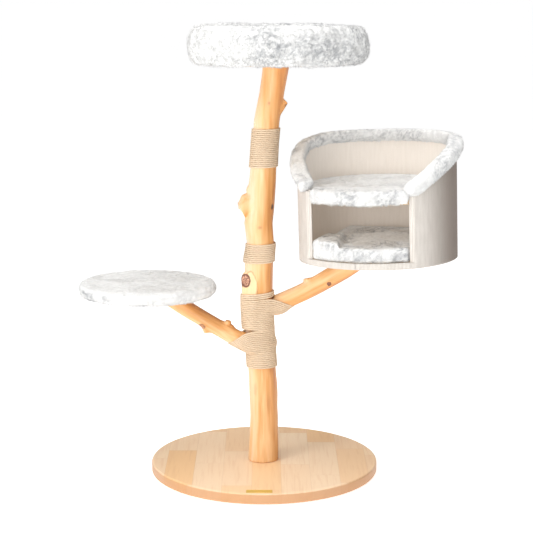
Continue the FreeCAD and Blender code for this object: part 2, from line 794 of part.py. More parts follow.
def make_wood(frame, trunk_tools, perch_screws, bed_screws, floor_screws):
    """The log and its two branches, coped together, bolted, and cut for every fixing in them."""
    left = branch_stations("left", LEFT_BRANCH)
    right = branch_stations("right", RIGHT_BRANCH)
    left_bolt = branch_bolt(
        "left_branch_bolt", left, number("left_bolt_before"), number("left_bolt_after"))
    right_bolt = branch_bolt(
        "right_branch_bolt", right, number("right_bolt_before"), number("right_bolt_after"))
    log_plain = natural_log()
    log_shape = log_plain.copy()
    for tool in trunk_tools + [left_bolt, right_bolt, bed_screws]:
        log_shape = log_shape.cut(tool.Shape)

    under_perch = Placement(
        Vector(number("perch_x"), 0, number("perch_bottom") + number("perch_hem_thickness")), Rotation())
    left_shape = limb(left).fuse(stub(*LEFT_TWIG)).cut(box_beyond(under_perch))
    left_shape = left_shape.cut([log_plain, left_bolt.Shape, perch_screws.Shape])
    right_shape = limb(right).fuse(stub(*RIGHT_TWIG)).cut(box_beyond(frame))
    right_shape = right_shape.cut([log_plain, right_bolt.Shape, floor_screws.Shape])
    return [
        solid_node("trunk_log", largest(log_shape)),
        solid_node("left_branch", largest(left_shape)),
        solid_node("right_branch", largest(right_shape)),
        left_bolt,
        right_bolt,
    ], log_plain


def make_rope(log_plain):
    """Rope sleeves round the log, and the lashings that run out over the branches' roots."""
    rope = number("rope_diameter")
    left = branch_stations("left", LEFT_BRANCH)
    right = branch_stations("right", RIGHT_BRANCH)
    wraps = []
    for name in ("top", "middle", "main"):
        sleeve = trunk_limb(number(f"wrap_{name}_low"), number(f"wrap_{name}_high"), rope)
        sleeve = sleeve.cut(log_plain)
        if name == "main":
            sleeve = sleeve.cut([limb(left), limb(right)])
        wraps.append(solid_node("rope_wrap_" + name, largest(sleeve)))
    main_sleeve = trunk_limb(number("wrap_main_low"), number("wrap_main_high"), rope)
    lashes = []
    for side, stations in (("left", left), ("right", right)):
        reach = number(side + "_lash_reach")
        (first, radius), (second, second_radius), (third, third_radius) = stations[:3]
        end = second.add(third.sub(second) * reach)
        end_radius = second_radius + (third_radius - second_radius) * reach
        wrapped = limb([
            (first, radius + rope), (second, second_radius + rope), (end, end_radius + rope)])
        wrapped = wrapped.cut([main_sleeve, log_plain, limb(stations)])
        lashes.append(solid_node("rope_lash_" + side, largest(wrapped)))
    return wraps + lashes


def make_tree():
    frame = cubby_frame()
    bolt, washer, dowels = make_trunk_fixings()
    nodes = [make_base(), make_plaque(), make_feet(), bolt, washer, dowels]

    perch_board, perch_foam, perch_cover = make_perch()
    bed_board, bed_bolster, bed_cushion = make_bed()
    cubby_bodies, floor_board, deck_board = make_cubby(frame)
    perch_screws, bed_screws = board_screws()
    floor_screws, deck_screws = cubby_screws(frame)
    wood, log_plain = make_wood(frame, [bolt, dowels], perch_screws, bed_screws, floor_screws)

    nodes += wood + make_rope(log_plain)
    nodes += [without("perch_board", perch_board, [perch_screws]), perch_foam, perch_cover, perch_screws]
    nodes += [without("bed_board", bed_board, [bed_screws]), bed_bolster, bed_cushion, bed_screws]
    nodes += cubby_bodies + [
        without("cubby_floor_board", floor_board, [floor_screws]),
        without("cubby_deck_board", deck_board, [deck_screws]),
        make_outer_cover(frame),
        without("cubby_deck_cleats", make_cleats(frame), [deck_screws]),
        floor_screws,
        deck_screws,
    ]
    return nodes


def check_and_export(nodes):
    doc.recompute()
    for item in doc.Objects:
        if "Invalid" in item.State or "Error" in item.State:
            raise RuntimeError(item.Label + " failed to build")
    os.makedirs("parts", exist_ok=True)
    for node in nodes:
        if node.Shape.isNull() or not node.Shape.isValid():
            raise RuntimeError(node.Label + " has no valid shape")
        solids = node.Shape.Solids
        box = node.Shape.BoundBox
        print(f"{node.Label}: {len(solids)} solid(s), {node.Shape.Volume / 1000:.1f} cm3,"
              f" z {box.ZMin:.1f} to {box.ZMax:.1f}")
        node.Shape.exportStep(f"parts/{node.Label}.step")


fill_sheet()
check_and_export(make_tree())
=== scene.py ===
"""How the cat tree looks: a peeled log, wound rope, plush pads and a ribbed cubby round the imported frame."""

import json
import math

import bmesh
import bpy
import numpy as np
from mathutils import Matrix, Vector
from mathutils.bvhtree import BVHTree

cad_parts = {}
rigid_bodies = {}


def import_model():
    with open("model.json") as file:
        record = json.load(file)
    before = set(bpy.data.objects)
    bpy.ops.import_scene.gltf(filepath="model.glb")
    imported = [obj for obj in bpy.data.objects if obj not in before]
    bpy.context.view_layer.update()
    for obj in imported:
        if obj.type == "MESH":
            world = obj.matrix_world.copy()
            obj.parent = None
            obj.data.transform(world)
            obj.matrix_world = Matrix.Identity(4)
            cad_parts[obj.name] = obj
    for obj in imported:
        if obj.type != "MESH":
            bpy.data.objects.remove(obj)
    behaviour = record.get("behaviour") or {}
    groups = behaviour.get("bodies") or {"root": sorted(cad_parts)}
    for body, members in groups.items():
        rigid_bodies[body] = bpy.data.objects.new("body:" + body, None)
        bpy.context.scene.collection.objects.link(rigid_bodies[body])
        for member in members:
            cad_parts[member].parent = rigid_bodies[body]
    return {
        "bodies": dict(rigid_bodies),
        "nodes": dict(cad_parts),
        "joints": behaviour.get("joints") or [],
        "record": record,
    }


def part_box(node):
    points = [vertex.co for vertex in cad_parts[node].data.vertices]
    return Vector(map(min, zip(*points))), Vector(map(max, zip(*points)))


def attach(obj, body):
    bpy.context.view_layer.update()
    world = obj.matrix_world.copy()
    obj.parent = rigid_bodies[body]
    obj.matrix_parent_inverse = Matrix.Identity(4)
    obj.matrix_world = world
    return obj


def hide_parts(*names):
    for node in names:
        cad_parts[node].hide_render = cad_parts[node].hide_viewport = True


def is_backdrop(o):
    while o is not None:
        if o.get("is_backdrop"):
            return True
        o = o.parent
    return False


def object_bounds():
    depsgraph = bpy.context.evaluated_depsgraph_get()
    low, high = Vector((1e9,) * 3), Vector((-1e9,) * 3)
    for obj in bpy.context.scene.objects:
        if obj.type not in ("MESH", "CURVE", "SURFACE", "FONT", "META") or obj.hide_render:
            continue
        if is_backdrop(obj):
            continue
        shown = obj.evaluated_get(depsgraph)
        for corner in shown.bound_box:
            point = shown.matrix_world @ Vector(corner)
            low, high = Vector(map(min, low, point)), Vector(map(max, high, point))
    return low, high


MM = 0.001
PILE_SEED = 20
ROPE = 5 * MM
# The pitch of the cloth's ribs, and the spacing of the wall's columns of points.
RIB = 3.5 * MM
WALL_STEP = RIB / 2
# The shallow arc shared by the deck's, floor's and pads' front edges, in millimetres.
FRONT_RADIUS = 235.3


# ---- numbers: smooth noise, outlines and paths ----

def cell_value(cell, seed):
    """A repeatable value from -1 to 1 for each cell of a whole-number lattice."""
    mixed = cell[..., 0] * 73856093 ^ cell[..., 1] * 19349663 ^ cell[..., 2] * 83492791 ^ seed * 9781
    mixed = (mixed ^ (mixed >> 13)) * 1274126177 & 0xFFFFFFFF
    mixed = (mixed ^ (mixed >> 15)) * 2246822519 & 0xFFFFFFFF
    return (mixed >> 8 & 0xFFFF) / 32767.5 - 1


def noise(points, size, seed=0):
    """Smooth noise from -1 to 1; size is the width of its bumps, one number or one for each axis."""
    spot = np.asarray(points, float) / size
    low = np.floor(spot).astype(np.int64)
    share = spot - low
    share = share * share * (3 - 2 * share)
    total = 0
    for corner in np.ndindex(2, 2, 2):
        weight = np.prod(np.where(corner, share, 1 - share), axis=-1)
        total = total + weight * cell_value(low + np.array(corner), seed)
    return total


def step_up(value, low, high):
    """0 below low, 1 above high, and a smooth rise between them."""
    share = np.clip((value - low) / (high - low), 0, 1)
    return share * share * (3 - 2 * share)


def unit(vectors):
    """The same directions, one long."""
    return vectors / np.maximum(np.linalg.norm(vectors, axis=-1, keepdims=True), 1e-12)


def full_turn(count):
    """Angles evenly round a circle."""
    return np.linspace(0, 2 * math.pi, count, endpoint=False)


def circle(turn):
    """Points on a circle of radius one at these angles."""
    return np.stack([np.cos(turn), np.sin(turn)], axis=1)


def travelled(points):
    """How far along a line each of its points is."""
    return np.concatenate([[0], np.cumsum(np.linalg.norm(np.diff(points, axis=0), axis=1))])


def resample(points, step, closed=False):
    """The same line with points evenly spaced, about step apart."""
    points = np.asarray(points, float)
    if closed:
        points = np.vstack([points, points[:1]])
    length = travelled(points)
    count = max(3, int(round(length[-1] / step)))
    marks = np.linspace(0, length[-1], count + 1)
    if closed:
        marks = marks[:-1]
    return np.stack([np.interp(marks, length, column) for column in points.T], axis=1)


def curved(points, step, closed=False):
    """A smooth line through the points."""
    points = np.asarray(points, float)
    count = len(points)
    pieces = []
    for index in range(count if closed else count - 1):
        near = [index - 1, index, index + 1, index + 2]
        near = [k % count if closed else min(max(k, 0), count - 1) for k in near]
        before, start, end, after = points[near]
        share = np.linspace(0, 1, 16, endpoint=False)[:, None]
        pieces.append(0.5 * (2 * start + (end - before) * share
                             + (2 * before - 5 * start + 4 * end - after) * share ** 2
                             + (3 * start - before - 3 * end + after) * share ** 3))
    if not closed:
        pieces.append(points[-1:])
    return resample(np.vstack(pieces), step, closed)


def oval(half_width, half_height, power, step):
    """A rounded section: power 2 is an ellipse, and more is squarer."""
    turn = full_turn(200)
    bend = 2 / power
    across = half_width * np.sign(np.cos(turn)) * np.abs(np.cos(turn)) ** bend
    up = half_height * np.sign(np.sin(turn)) * np.abs(np.sin(turn)) ** bend
    return resample(np.stack([across, up], axis=1), step, closed=True)


def hull(points):
    """The convex outline of points in a plane, counterclockwise."""
    ordered = sorted(map(tuple, points))
    sides = []
    for run in (ordered, ordered[::-1]):
        side = []
        for spot in run:
            while len(side) > 1:
                (ax, ay), (bx, by) = side[-2], side[-1]
                if (bx - ax) * (spot[1] - ay) - (by - ay) * (spot[0] - ax) > 0:
                    break
                side.pop()
            side.append(spot)
        sides += side[:-1]
    return np.array(sides)


def placed(matrix, points):
    """Points in a frame, moved to the object's frame."""
    turn = np.array(matrix.to_3x3())
    return np.asarray(points) @ turn.T + np.array(matrix.translation)


# ---- meshes ----

def grid_faces(rows, columns, close_rows=False, close_columns=False):
    """Quads between neighbouring points of a grid."""
    row, column = np.meshgrid(np.arange(rows - (not close_rows)),
                              np.arange(columns - (not close_columns)), indexing="ij")
    row, column = row.ravel(), column.ravel()
    next_row, next_column = (row + 1) % rows, (column + 1) % columns
    return np.stack([row * columns + column, row * columns + next_column,
                     next_row * columns + next_column, next_row * columns + column], axis=1)


def new_mesh(name, points, faces):
    """A clean mesh with its doubled points joined and its normals outward."""
    mesh = bpy.data.meshes.new(name)
    mesh.from_pydata(np.asarray(points).tolist(), [], [list(map(int, face)) for face in faces])
    clean = bmesh.new()
    clean.from_mesh(mesh)
    bmesh.ops.remove_doubles(clean, verts=clean.verts, dist=1e-6)
    bmesh.ops.recalc_face_normals(clean, faces=clean.faces)
    clean.to_mesh(mesh)
    clean.free()
    return mesh


def lidded_faces(rows, columns):
    """Quads along closed rings, with a lid at each end."""
    faces = grid_faces(rows, columns, False, True).tolist()
    faces.append(list(range(columns))[::-1])
    faces.append([(rows - 1) * columns + k for k in range(columns)])
    return faces


def rings_mesh(name, rings):
    """A closed mesh through rings of points, with a lid at each end."""
    return new_mesh(name, rings.reshape(-1, 3), lidded_faces(*rings.shape[:2]))


def sheet_mesh(name, grid, thickness):
    """A thin closed sheet with the grid as its middle."""
    rows, columns = grid.shape[:2]
    out = unit(np.cross(np.gradient(grid, axis=0), np.gradient(grid, axis=1)))
    both = np.concatenate([(grid + out * thickness / 2).reshape(-1, 3),
                           (grid - out * thickness / 2).reshape(-1, 3)])
    front = grid_faces(rows, columns)
    back = front[:, ::-1] + rows * columns
    index = np.arange(rows * columns).reshape(rows, columns)
    rim = np.concatenate([index[0], index[1:, -1], index[-1, -2::-1], index[-2:0:-1, 0]])
    follow = np.roll(rim, -1)
    edge = np.stack([rim, rim + rows * columns, follow + rows * columns, follow], axis=1)
    return new_mesh(name, both, np.concatenate([front, back, edge]))


def mesh_points(mesh, kind="co"):
    """Each point's place, or its normal."""
    values = np.empty(len(mesh.vertices) * 3)
    mesh.vertices.foreach_get(kind, values)
    return values.reshape(-1, 3)


def mesh_triangles(mesh):
    """The three points of each of the mesh's triangles."""
    mesh.calc_loop_triangles()
    corners = np.empty(len(mesh.loop_triangles) * 3, np.int64)
    mesh.loop_triangles.foreach_get("vertices", corners)
    return corners.reshape(-1, 3)


def move_points(mesh, points):
    mesh.vertices.foreach_set("co", np.asarray(points).ravel())
    mesh.update()


def push_out(mesh, distance):
    """Move each point along its normal."""
    move_points(mesh, mesh_points(mesh) + mesh_points(mesh, "normal") * np.asarray(distance)[:, None])


def mark_points(mesh, name, values):
    """Keep a number on every point for the material to read."""
    attribute = mesh.attributes.new(name, "FLOAT", "POINT")
    attribute.data.foreach_set("value", np.asarray(values, np.float32))


def surface_of(mesh):
    """The mesh's surface, ready to be measured from."""
    return BVHTree.FromPolygons([v.co for v in mesh.vertices], [p.vertices for p in mesh.polygons])


def paint_mesh(mesh, material, smooth=True):
    mesh.polygons.foreach_set("use_smooth", [smooth] * len(mesh.polygons))
    mesh.materials.clear()
    mesh.materials.append(material)


def show(name, mesh, material, smooth=True):
    """Put a mesh in the scene with its material."""
    paint_mesh(mesh, material, smooth)
    piece = bpy.data.objects.new(name, mesh)
    bpy.context.scene.collection.objects.link(piece)
    return piece


def stand_for(piece, body, slot, *nodes):
    """The piece is shown in place of these CAD nodes, on their body. The slot is not used."""
    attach(piece, body)
    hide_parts(*nodes)
    return piece


# ---- materials ----

def tint(red, green, blue):
    """A colour from its usual 0 to 255 values."""
    channels = [value / 255 for value in (red, green, blue)]
    return tuple(c / 12.92 if c <= 0.04045 else ((c + 0.055) / 1.055) ** 2.4 for c in channels) + (1.0,)


class Paint:
    """A material's nodes, added one at a time. Each call gives the new node's output."""

    def __init__(self, name):
        self.material = bpy.data.materials.new(name)
        self.material.use_nodes = True
        self.tree = self.material.node_tree
        self.shader = self.tree.nodes["Principled BSDF"]

    def feed(self, socket, value):
        if isinstance(value, bpy.types.NodeSocket):
            self.tree.links.new(value, socket)
        else:
            socket.default_value = value

    def add(self, kind, values, output=0, **settings):
        node = self.tree.nodes.new("ShaderNode" + kind)
        for setting, value in settings.items():
            setattr(node, setting, value)
        for socket, value in values.items():
            self.feed(node.inputs[socket], value)
        return node.outputs[output]

    def place(self):
        return self.add("TexCoord", {}, "Object")

    def scaled(self, scale, turn=(0, 0, 0)):
        turned = self.add("Mapping", {"Vector": self.place(), "Rotation": turn})
        return self.add("Mapping", {"Vector": turned, "Scale": scale})

    def noise(self, vector, scale=1.0, detail=3.0, distortion=0.0):
        return self.add("TexNoise", {"Vector": vector, "Scale": scale, "Detail": detail,
                                     "Distortion": distortion})

    def sum(self, kind, first, second=0.0):
        return self.add("Math", {0: first, 1: second}, operation=kind)

    def weigh(self, *parts):
        """The sum of the parts, each a value and its weight."""
        total = self.sum("MULTIPLY", *parts[0])
        for part in parts[1:]:
            total = self.sum("ADD", total, self.sum("MULTIPLY", *part))
        return total

    def spread(self, value, low, high, start=0.0, end=1.0):
        return self.add("MapRange", {0: value, 1: low, 2: high, 3: start, 4: end},
                        interpolation_type="SMOOTHSTEP")

    def mix(self, share, first, second):
        return self.add("Mix", {0: share, 6: first, 7: second}, 2, data_type="RGBA", blend_type="MIX")

    def ramp(self, value, stops):
        node = self.tree.nodes.new("ShaderNodeValToRGB")
        while len(node.color_ramp.elements) < len(stops):
            node.color_ramp.elements.new(0.5)
        for element, (position, colour) in zip(node.color_ramp.elements, stops):
            element.position = position
            element.color = colour
        self.feed(node.inputs[0], value)
        return node.outputs[0]

    # How far a surface faces right, for painted shade on right-hand sides.
    def facing_right_for_painted_shade(self):
        return self.add("SeparateXYZ", {0: self.add("NewGeometry", {}, "Normal")}, 0)

    def kept(self, name):
        return self.add("Attribute", {}, "Fac", attribute_name=name)

    def bumps(self, height, distance, strength=1.0):
        bump = self.add("Bump", {"Height": height, "Distance": distance, "Strength": strength})
        self.feed(self.shader.inputs["Normal"], bump)

    def finish(self, colour, roughness, **sockets):
        self.feed(self.shader.inputs["Base Color"], colour)
        self.feed(self.shader.inputs["Roughness"], roughness)
        for socket, value in sockets.items():
            self.feed(self.shader.inputs[socket.replace("_", " ")], value)
        return self.material


def distance_from(paint, spot, centre, radii):
    """How far a place is from an oval's middle: 1 at its rim."""
    off = paint.add("VectorMath", {0: spot, 1: tuple(MM * c for c in centre)}, operation="SUBTRACT")
    off = paint.add("VectorMath", {0: off, 1: tuple(1 / (MM * r) for r in radii)}, operation="MULTIPLY")
    return paint.add("VectorMath", {0: off}, "Value", operation="LENGTH")


def wood_paint(name, lean, hearts=(), stains=(), arches=()):
    """Peeled, lacquered wood: grain along the limb, which leans from upright, painted shade that makes its
    right-hand side slightly darker, stains, pale arches with a dark outline, and knots with cracked hearts."""
    paint = Paint(name)
    turn = (0, lean, 0)
    grain = paint.noise(paint.scaled((110, 110, 5), turn), 1.0, 5.0, 0.4)
    streak = paint.noise(paint.scaled((26, 26, 2.6), turn), 1.0, 3.0, 0.5)
    broad = paint.noise(paint.scaled((9, 9, 4), turn), 1.0, 2.0)
    # Painted shade: the right-hand side comes out a little darker.
    side = paint.facing_right_for_painted_shade()
    level = paint.weigh((grain, 0.22), (streak, 0.42), (broad, 0.36), (side, -0.14))
    colour = paint.ramp(level, [(0.32, tint(178, 110, 54)), (0.43, tint(212, 150, 84)),
                                (0.53, tint(230, 182, 128)), (0.66, tint(238, 205, 170))])
    fine = paint.noise(paint.scaled((420, 420, 14), turn), 1.0, 2.0)
    colour = paint.mix(paint.spread(fine, 0.55, 0.75, 0.0, 0.22), colour, tint(186, 130, 78))
    wobble = paint.noise(paint.place(), 90.0, 2.0)
    spot = paint.add("VectorMath", {0: paint.place(), 1: paint.add(
        "CombineXYZ", {0: paint.sum("MULTIPLY", wobble, 0.006), 2: paint.sum("MULTIPLY", wobble, 0.004)})},
        operation="ADD")
    for centre, radii, shade, strength in stains:
        share = paint.spread(distance_from(paint, spot, centre, radii), 0.35, 1.15, strength, 0.0)
        colour = paint.mix(share, colour, shade)
    for centre, radii in arches:
        away = distance_from(paint, spot, centre, radii)
        line = paint.sum("MULTIPLY", paint.spread(away, 0.90, 1.0), paint.spread(away, 1.0, 1.06, 1.0, 0.0))
        colour = paint.mix(paint.spread(away, 0.96, 1.0, 0.45, 0.0), colour, tint(244, 216, 172))
        colour = paint.mix(paint.sum("MULTIPLY", line, 0.5), colour, tint(176, 112, 60))
    for centre, radii, middle, rim in hearts:
        away = distance_from(paint, spot, centre, radii)
        cracks = paint.spread(paint.noise(paint.place(), 260.0, 3.0, 1.5), 0.42, 0.6)
        heart = paint.mix(cracks, rim, middle)
        inside = paint.mix(paint.spread(away, 0.72, 0.9), heart, rim)
        colour = paint.mix(paint.spread(away, 0.98, 1.16), inside, colour)
    paint.bumps(paint.weigh((grain, 1.0), (fine, 0.5)), 0.0012, 0.35)
    return paint.finish(colour, paint.spread(grain, 0.3, 0.7, 0.42, 0.55), Coat_Weight=0.25,
                        Coat_Roughness=0.25)


def plush_paint():
    """Long white pile with blue-grey tips where the marks on the mesh say so. It glows a little,
    which keeps its shaded side pale."""
    paint = Paint("plush")
    grey = paint.kept("grey")
    fine = paint.noise(paint.place(), 420.0, 2.0)
    pile = paint.noise(paint.place(), 95.0, 3.0, 0.8)
    white = paint.mix(paint.spread(pile, 0.35, 0.7), tint(204, 204, 203), tint(217, 217, 216))
    dark = paint.mix(fine, tint(96, 99, 104), tint(150, 152, 156))
    share = paint.sum("MULTIPLY", grey, paint.spread(fine, 0.3, 0.6, 0.55, 1.0))
    paint.bumps(paint.weigh((pile, 1.0), (fine, 0.6)), 0.001, 0.3)
    colour = paint.mix(share, white, dark)
    return paint.finish(colour, 0.95, Emission_Color=colour, Emission_Strength=0.24,
                        Sheen_Weight=0.35, Sheen_Roughness=0.6,
                        Specular_IOR_Level=0.1)


def ribbed_paint(name, light, shaded, rib_depth, painted_shade_right, glow):
    """Fine upright ribs on a slightly uneven woven cloth. The side tone is painted shade: how far it is tinted
    darker towards its right-hand side. The glow is painted light: an emission that lifts its shaded parts."""
    paint = Paint(name)
    phase = paint.sum("MULTIPLY", paint.kept("across"), 2 * math.pi / RIB)
    rib = paint.spread(paint.sum("SINE", phase), -1.0, 1.0)
    weave = paint.noise(paint.scaled((300, 300, 900)), 1.0, 2.0)
    height = paint.add("SeparateXYZ", {0: paint.place()}, 2)
    band = paint.noise(paint.add("CombineXYZ", {0: paint.kept("across"), 1: paint.sum(
        "MULTIPLY", height, 0.12)}), 150.0, 3.0)
    # Ribs, weave and bands run from the shaded colour to the light one: painted shade in the rib grooves,
    # uneven tone in the weave and bands.
    colour = paint.ramp(paint.weigh((rib, 0.3), (weave, 0.25), (band, 0.45)), [(0.25, shaded), (0.72, light)])
    side = paint.facing_right_for_painted_shade()
    # Painted shade: darker towards the right-hand side, by how far the surface faces right.
    colour = paint.mix(paint.spread(side, 0.42, 0.95, 0.0, painted_shade_right), colour, tint(112, 96, 84))
    paint.bumps(paint.weigh((rib, 1.0), (weave, 0.4)), rib_depth, 0.9)
    # The emission is painted light that lifts the shaded parts.
    return paint.finish(colour, 0.85, Emission_Color=colour, Emission_Strength=glow,
                        Sheen_Weight=0.15, Specular_IOR_Level=0.2)


def rope_paint():
    """Twisted natural fibre: pale on the strands, with painted shade darkening the grooves between them."""
    paint = Paint("rope")
    fibre = paint.noise(paint.place(), 900.0, 3.0)
    patch = paint.noise(paint.place(), 45.0, 3.0)
    pale = paint.mix(patch, tint(210, 186, 158), tint(226, 206, 181))
    # Painted shade in the grooves between the strands.
    colour = paint.mix(paint.sum("MULTIPLY", paint.kept("painted_groove_shade"), 0.25), pale, tint(158, 130, 102))
    colour = paint.mix(paint.spread(fibre, 0.5, 0.75, 0.0, 0.35), colour, tint(148, 120, 92))
    paint.bumps(fibre, 0.0006, 0.6)
    return paint.finish(colour, 0.9, Specular_IOR_Level=0.15)


def stave_paint():
    """Edge-glued staves running from front to back, butt-jointed at random, under a satin lacquer."""
    paint = Paint("base_staves")
    across, along, up = paint.add("SeparateXYZ", {0: paint.place()}).node.outputs
    lane = paint.sum("ADD", paint.sum("DIVIDE", across, 0.0755), 20.42)
    stave = paint.sum("FLOOR", lane)
    shift = paint.add("TexWhiteNoise", {"W": stave}, 0, noise_dimensions="1D")
    block = paint.sum("ADD", paint.sum("DIVIDE", along, 0.29), paint.sum("MULTIPLY", shift, 7.0))
    number = paint.add("CombineXYZ", {0: stave, 1: paint.sum("FLOOR", block)})
    pick = paint.add("TexWhiteNoise", {"Vector": number}, 0, noise_dimensions="2D")
    tone = paint.ramp(pick, [(0.0, tint(246, 208, 164)), (0.25, tint(252, 224, 190)),
                             (0.5, tint(248, 214, 176)), (0.75, tint(253, 228, 196)),
                             (1.0, tint(246, 202, 148))])
    grain_place = paint.add("VectorMath", {0: paint.scaled((120, 7, 30)), 1: paint.add(
        "VectorMath", {0: number, 1: (13.7, 5.3, 0)}, operation="MULTIPLY")}, operation="ADD")
    grain = paint.noise(grain_place, 1.0, 4.0, 0.6)
    colour = paint.mix(paint.spread(grain, 0.45, 0.75, 0.0, 0.22), tone, tint(214, 160, 108))
    pores = paint.noise(paint.scaled((700, 40, 200)), 1.0, 2.0)
    colour = paint.mix(paint.spread(pores, 0.6, 0.75, 0.0, 0.07), colour, tint(190, 140, 96))
    seam = paint.spread(paint.sum("PINGPONG", lane, 0.5), 0.0, 0.008, 0.3, 0.0)
    joint = paint.spread(paint.sum("PINGPONG", block, 0.5), 0.0, 0.0025, 0.35, 0.0)
    colour = paint.mix(paint.sum("MAXIMUM", seam, joint), colour, tint(168, 118, 80))
    # Painted shade: the band round the base's sides, under its top, is darker.
    edge = paint.spread(up, 0.0305, 0.0255, 0.0, 0.85)
    colour = paint.mix(edge, colour, tint(180, 128, 82))
    paint.bumps(paint.weigh((grain, 1.0), (pores, 0.5)), 0.0004, 0.3)
    return paint.finish(colour, 0.5, Coat_Weight=0.12, Coat_Roughness=0.3)


def even_paint(name, light, dark, size, roughness, **sockets):
    """Two close colours in a fine pattern, for pieces that are nearly one colour."""
    paint = Paint(name)
    pattern = paint.noise(paint.place(), 1 / size, 3.0)
    paint.bumps(pattern, 0.0003, 0.4)
    return paint.finish(paint.mix(pattern, dark, light), roughness, **sockets)


def board_paint():
    """Bare plywood: pale faces with a stretched grain and thin dark plies on the edge."""
    paint = Paint("plywood")
    grain = paint.noise(paint.scaled((60, 6, 60)), 1.0, 4.0, 0.5)
    plies = paint.sum("PINGPONG", paint.sum("DIVIDE", paint.add(
        "SeparateXYZ", {0: paint.place()}, 2), 0.003), 0.5)
    colour = paint.mix(grain, tint(204, 172, 128), tint(232, 206, 164))
    colour = paint.mix(paint.spread(plies, 0.3, 0.45, 0.0, 0.35), colour, tint(170, 132, 92))
    paint.bumps(grain, 0.0003, 0.3)
    return paint.finish(colour, 0.7)


# ---- the log, its branches and the rope ----

def sculpted_wood(name, nodes, lean, lumps, material):
    """A CAD limb with an uneven peeled surface: swellings, fine ridges along the grain and knots.
    Evening out the mesh draws it in a little, and the first part of the rise puts that back."""
    mesh = nodes[name].data.copy()
    piece = show(name, mesh, material)
    remesh = piece.modifiers.new("even", "REMESH")
    remesh.mode = "VOXEL"
    remesh.voxel_size = 2.4 * MM
    smooth = piece.modifiers.new("soft", "SMOOTH")
    smooth.iterations = 5
    bpy.context.view_layer.update()
    made = bpy.data.meshes.new_from_object(piece.evaluated_get(bpy.context.evaluated_depsgraph_get()))
    made.name = name
    piece.modifiers.clear()
    piece.data = made
    points = mesh_points(made)
    plain = surface_of(mesh)
    bpy.data.meshes.remove(mesh)
    lost = []
    for spot in points[::7]:
        nearest, normal, _, _ = plain.find_nearest(Vector(spot))
        lost.append((nearest - Vector(spot)).dot(normal))
    along = points @ np.array(Matrix.Rotation(lean, 3, "Y")).T
    rise = float(np.median(lost)) + 1.3 * MM * noise(points, 0.055, 3)
    rise += 0.55 * MM * noise(along, [0.011, 0.011, 0.09], 5)
    rise += 0.25 * MM * noise(along, [0.005, 0.005, 0.05], 8)
    for x, y, z, radius, height in lumps:
        away = np.linalg.norm(points - MM * np.array([x, y, z]), axis=1) / (MM * radius)
        rise += MM * height * np.exp(-away ** 2 * 1.6)
    push_out(made, rise)
    paint_mesh(made, material)
    return stand_for(piece, "tree", "natural_wood", name)


def inside_any(surfaces, spot):
    """Whether a place is inside the log or a branch."""
    for surface in surfaces:
        nearest, normal, _, _ = surface.find_nearest(spot)
        if (spot - nearest).dot(normal) < 0:
            return True
    return False


def wood_reach(surfaces, middle, direction, level):
    """How far out the wood goes from the log's middle in a direction, at the rope turn's height there."""
    def spot_at(reach):
        spot = middle + direction * reach
        spot.z = level(spot.x)
        return spot

    reach = 110 * MM
    while reach > 14 * MM and not inside_any(surfaces, spot_at(reach)):
        reach -= 4 * MM
    low, high = reach, reach + 4 * MM
    for _ in range(4):
        half = (low + high) / 2
        if inside_any(surfaces, spot_at(half)):
            low = half
        else:
            high = half
    return (low + high) / 2


def soft_past(x, knee, softness=6 * MM):
    """How far x is past the knee, turning smoothly there."""
    return softness * math.log1p(math.exp(max(-30, min(30, (x - knee) / softness))))


def rope_level(height, low_side, high_side, tilt):
    """The height along one turn: nearly level round the log, falling along a branch beyond its knee.
    A side is (knee, slope), or None where there is no branch to take in."""
    def level(x):
        drop = -tilt * (x + 14 * MM)
        if low_side:
            drop += low_side[1] * soft_past(-x, -low_side[0])
        if high_side:
            drop += high_side[1] * soft_past(x, high_side[0])
        return height - drop
    return level


def rope_turn(surfaces, middle, level, out):
    """One turn of rope pulled tight round the wood, its points starting at the back."""
    corners = []
    for turn in full_turn(90):
        direction = Vector((math.cos(turn), math.sin(turn), 0))
        spot = middle + direction * wood_reach(surfaces, middle, direction, level)
        corners.append((spot.x, spot.y))
    outline = resample(hull(corners), 1 * MM, closed=True)
    outline = np.roll(outline, -int(np.argmax(outline[:, 1])), axis=0)
    share = np.linspace(0, len(outline), 240, endpoint=False)
    wrapped = np.vstack([outline, outline[:1]])
    outline = np.stack([np.interp(share, np.arange(len(wrapped)), column) for column in wrapped.T], axis=1)
    for _ in range(4):
        outline = (np.roll(outline, 1, axis=0) + 2 * outline + np.roll(outline, -1, axis=0)) / 4
    forward = np.roll(outline, -1, axis=0) - np.roll(outline, 1, axis=0)
    side = np.stack([forward[:, 1], -forward[:, 0]], axis=1)
    outline = outline + out * side / np.linalg.norm(side, axis=1, keepdims=True)
    heights = np.array([level(x) for x in outline[:, 0]])
    return np.column_stack([outline, heights])


def log_middle(surface, height):
    """The middle of the log at a height."""
    left = surface.ray_cast(Vector((-0.5, 0.004, height)), Vector((1, 0, 0)))[0]
    right = surface.ray_cast(Vector((0.5, 0.004, height)), Vector((-1, 0, 0)))[0]
    return Vector(((left.x + right.x) / 2, 0, height))


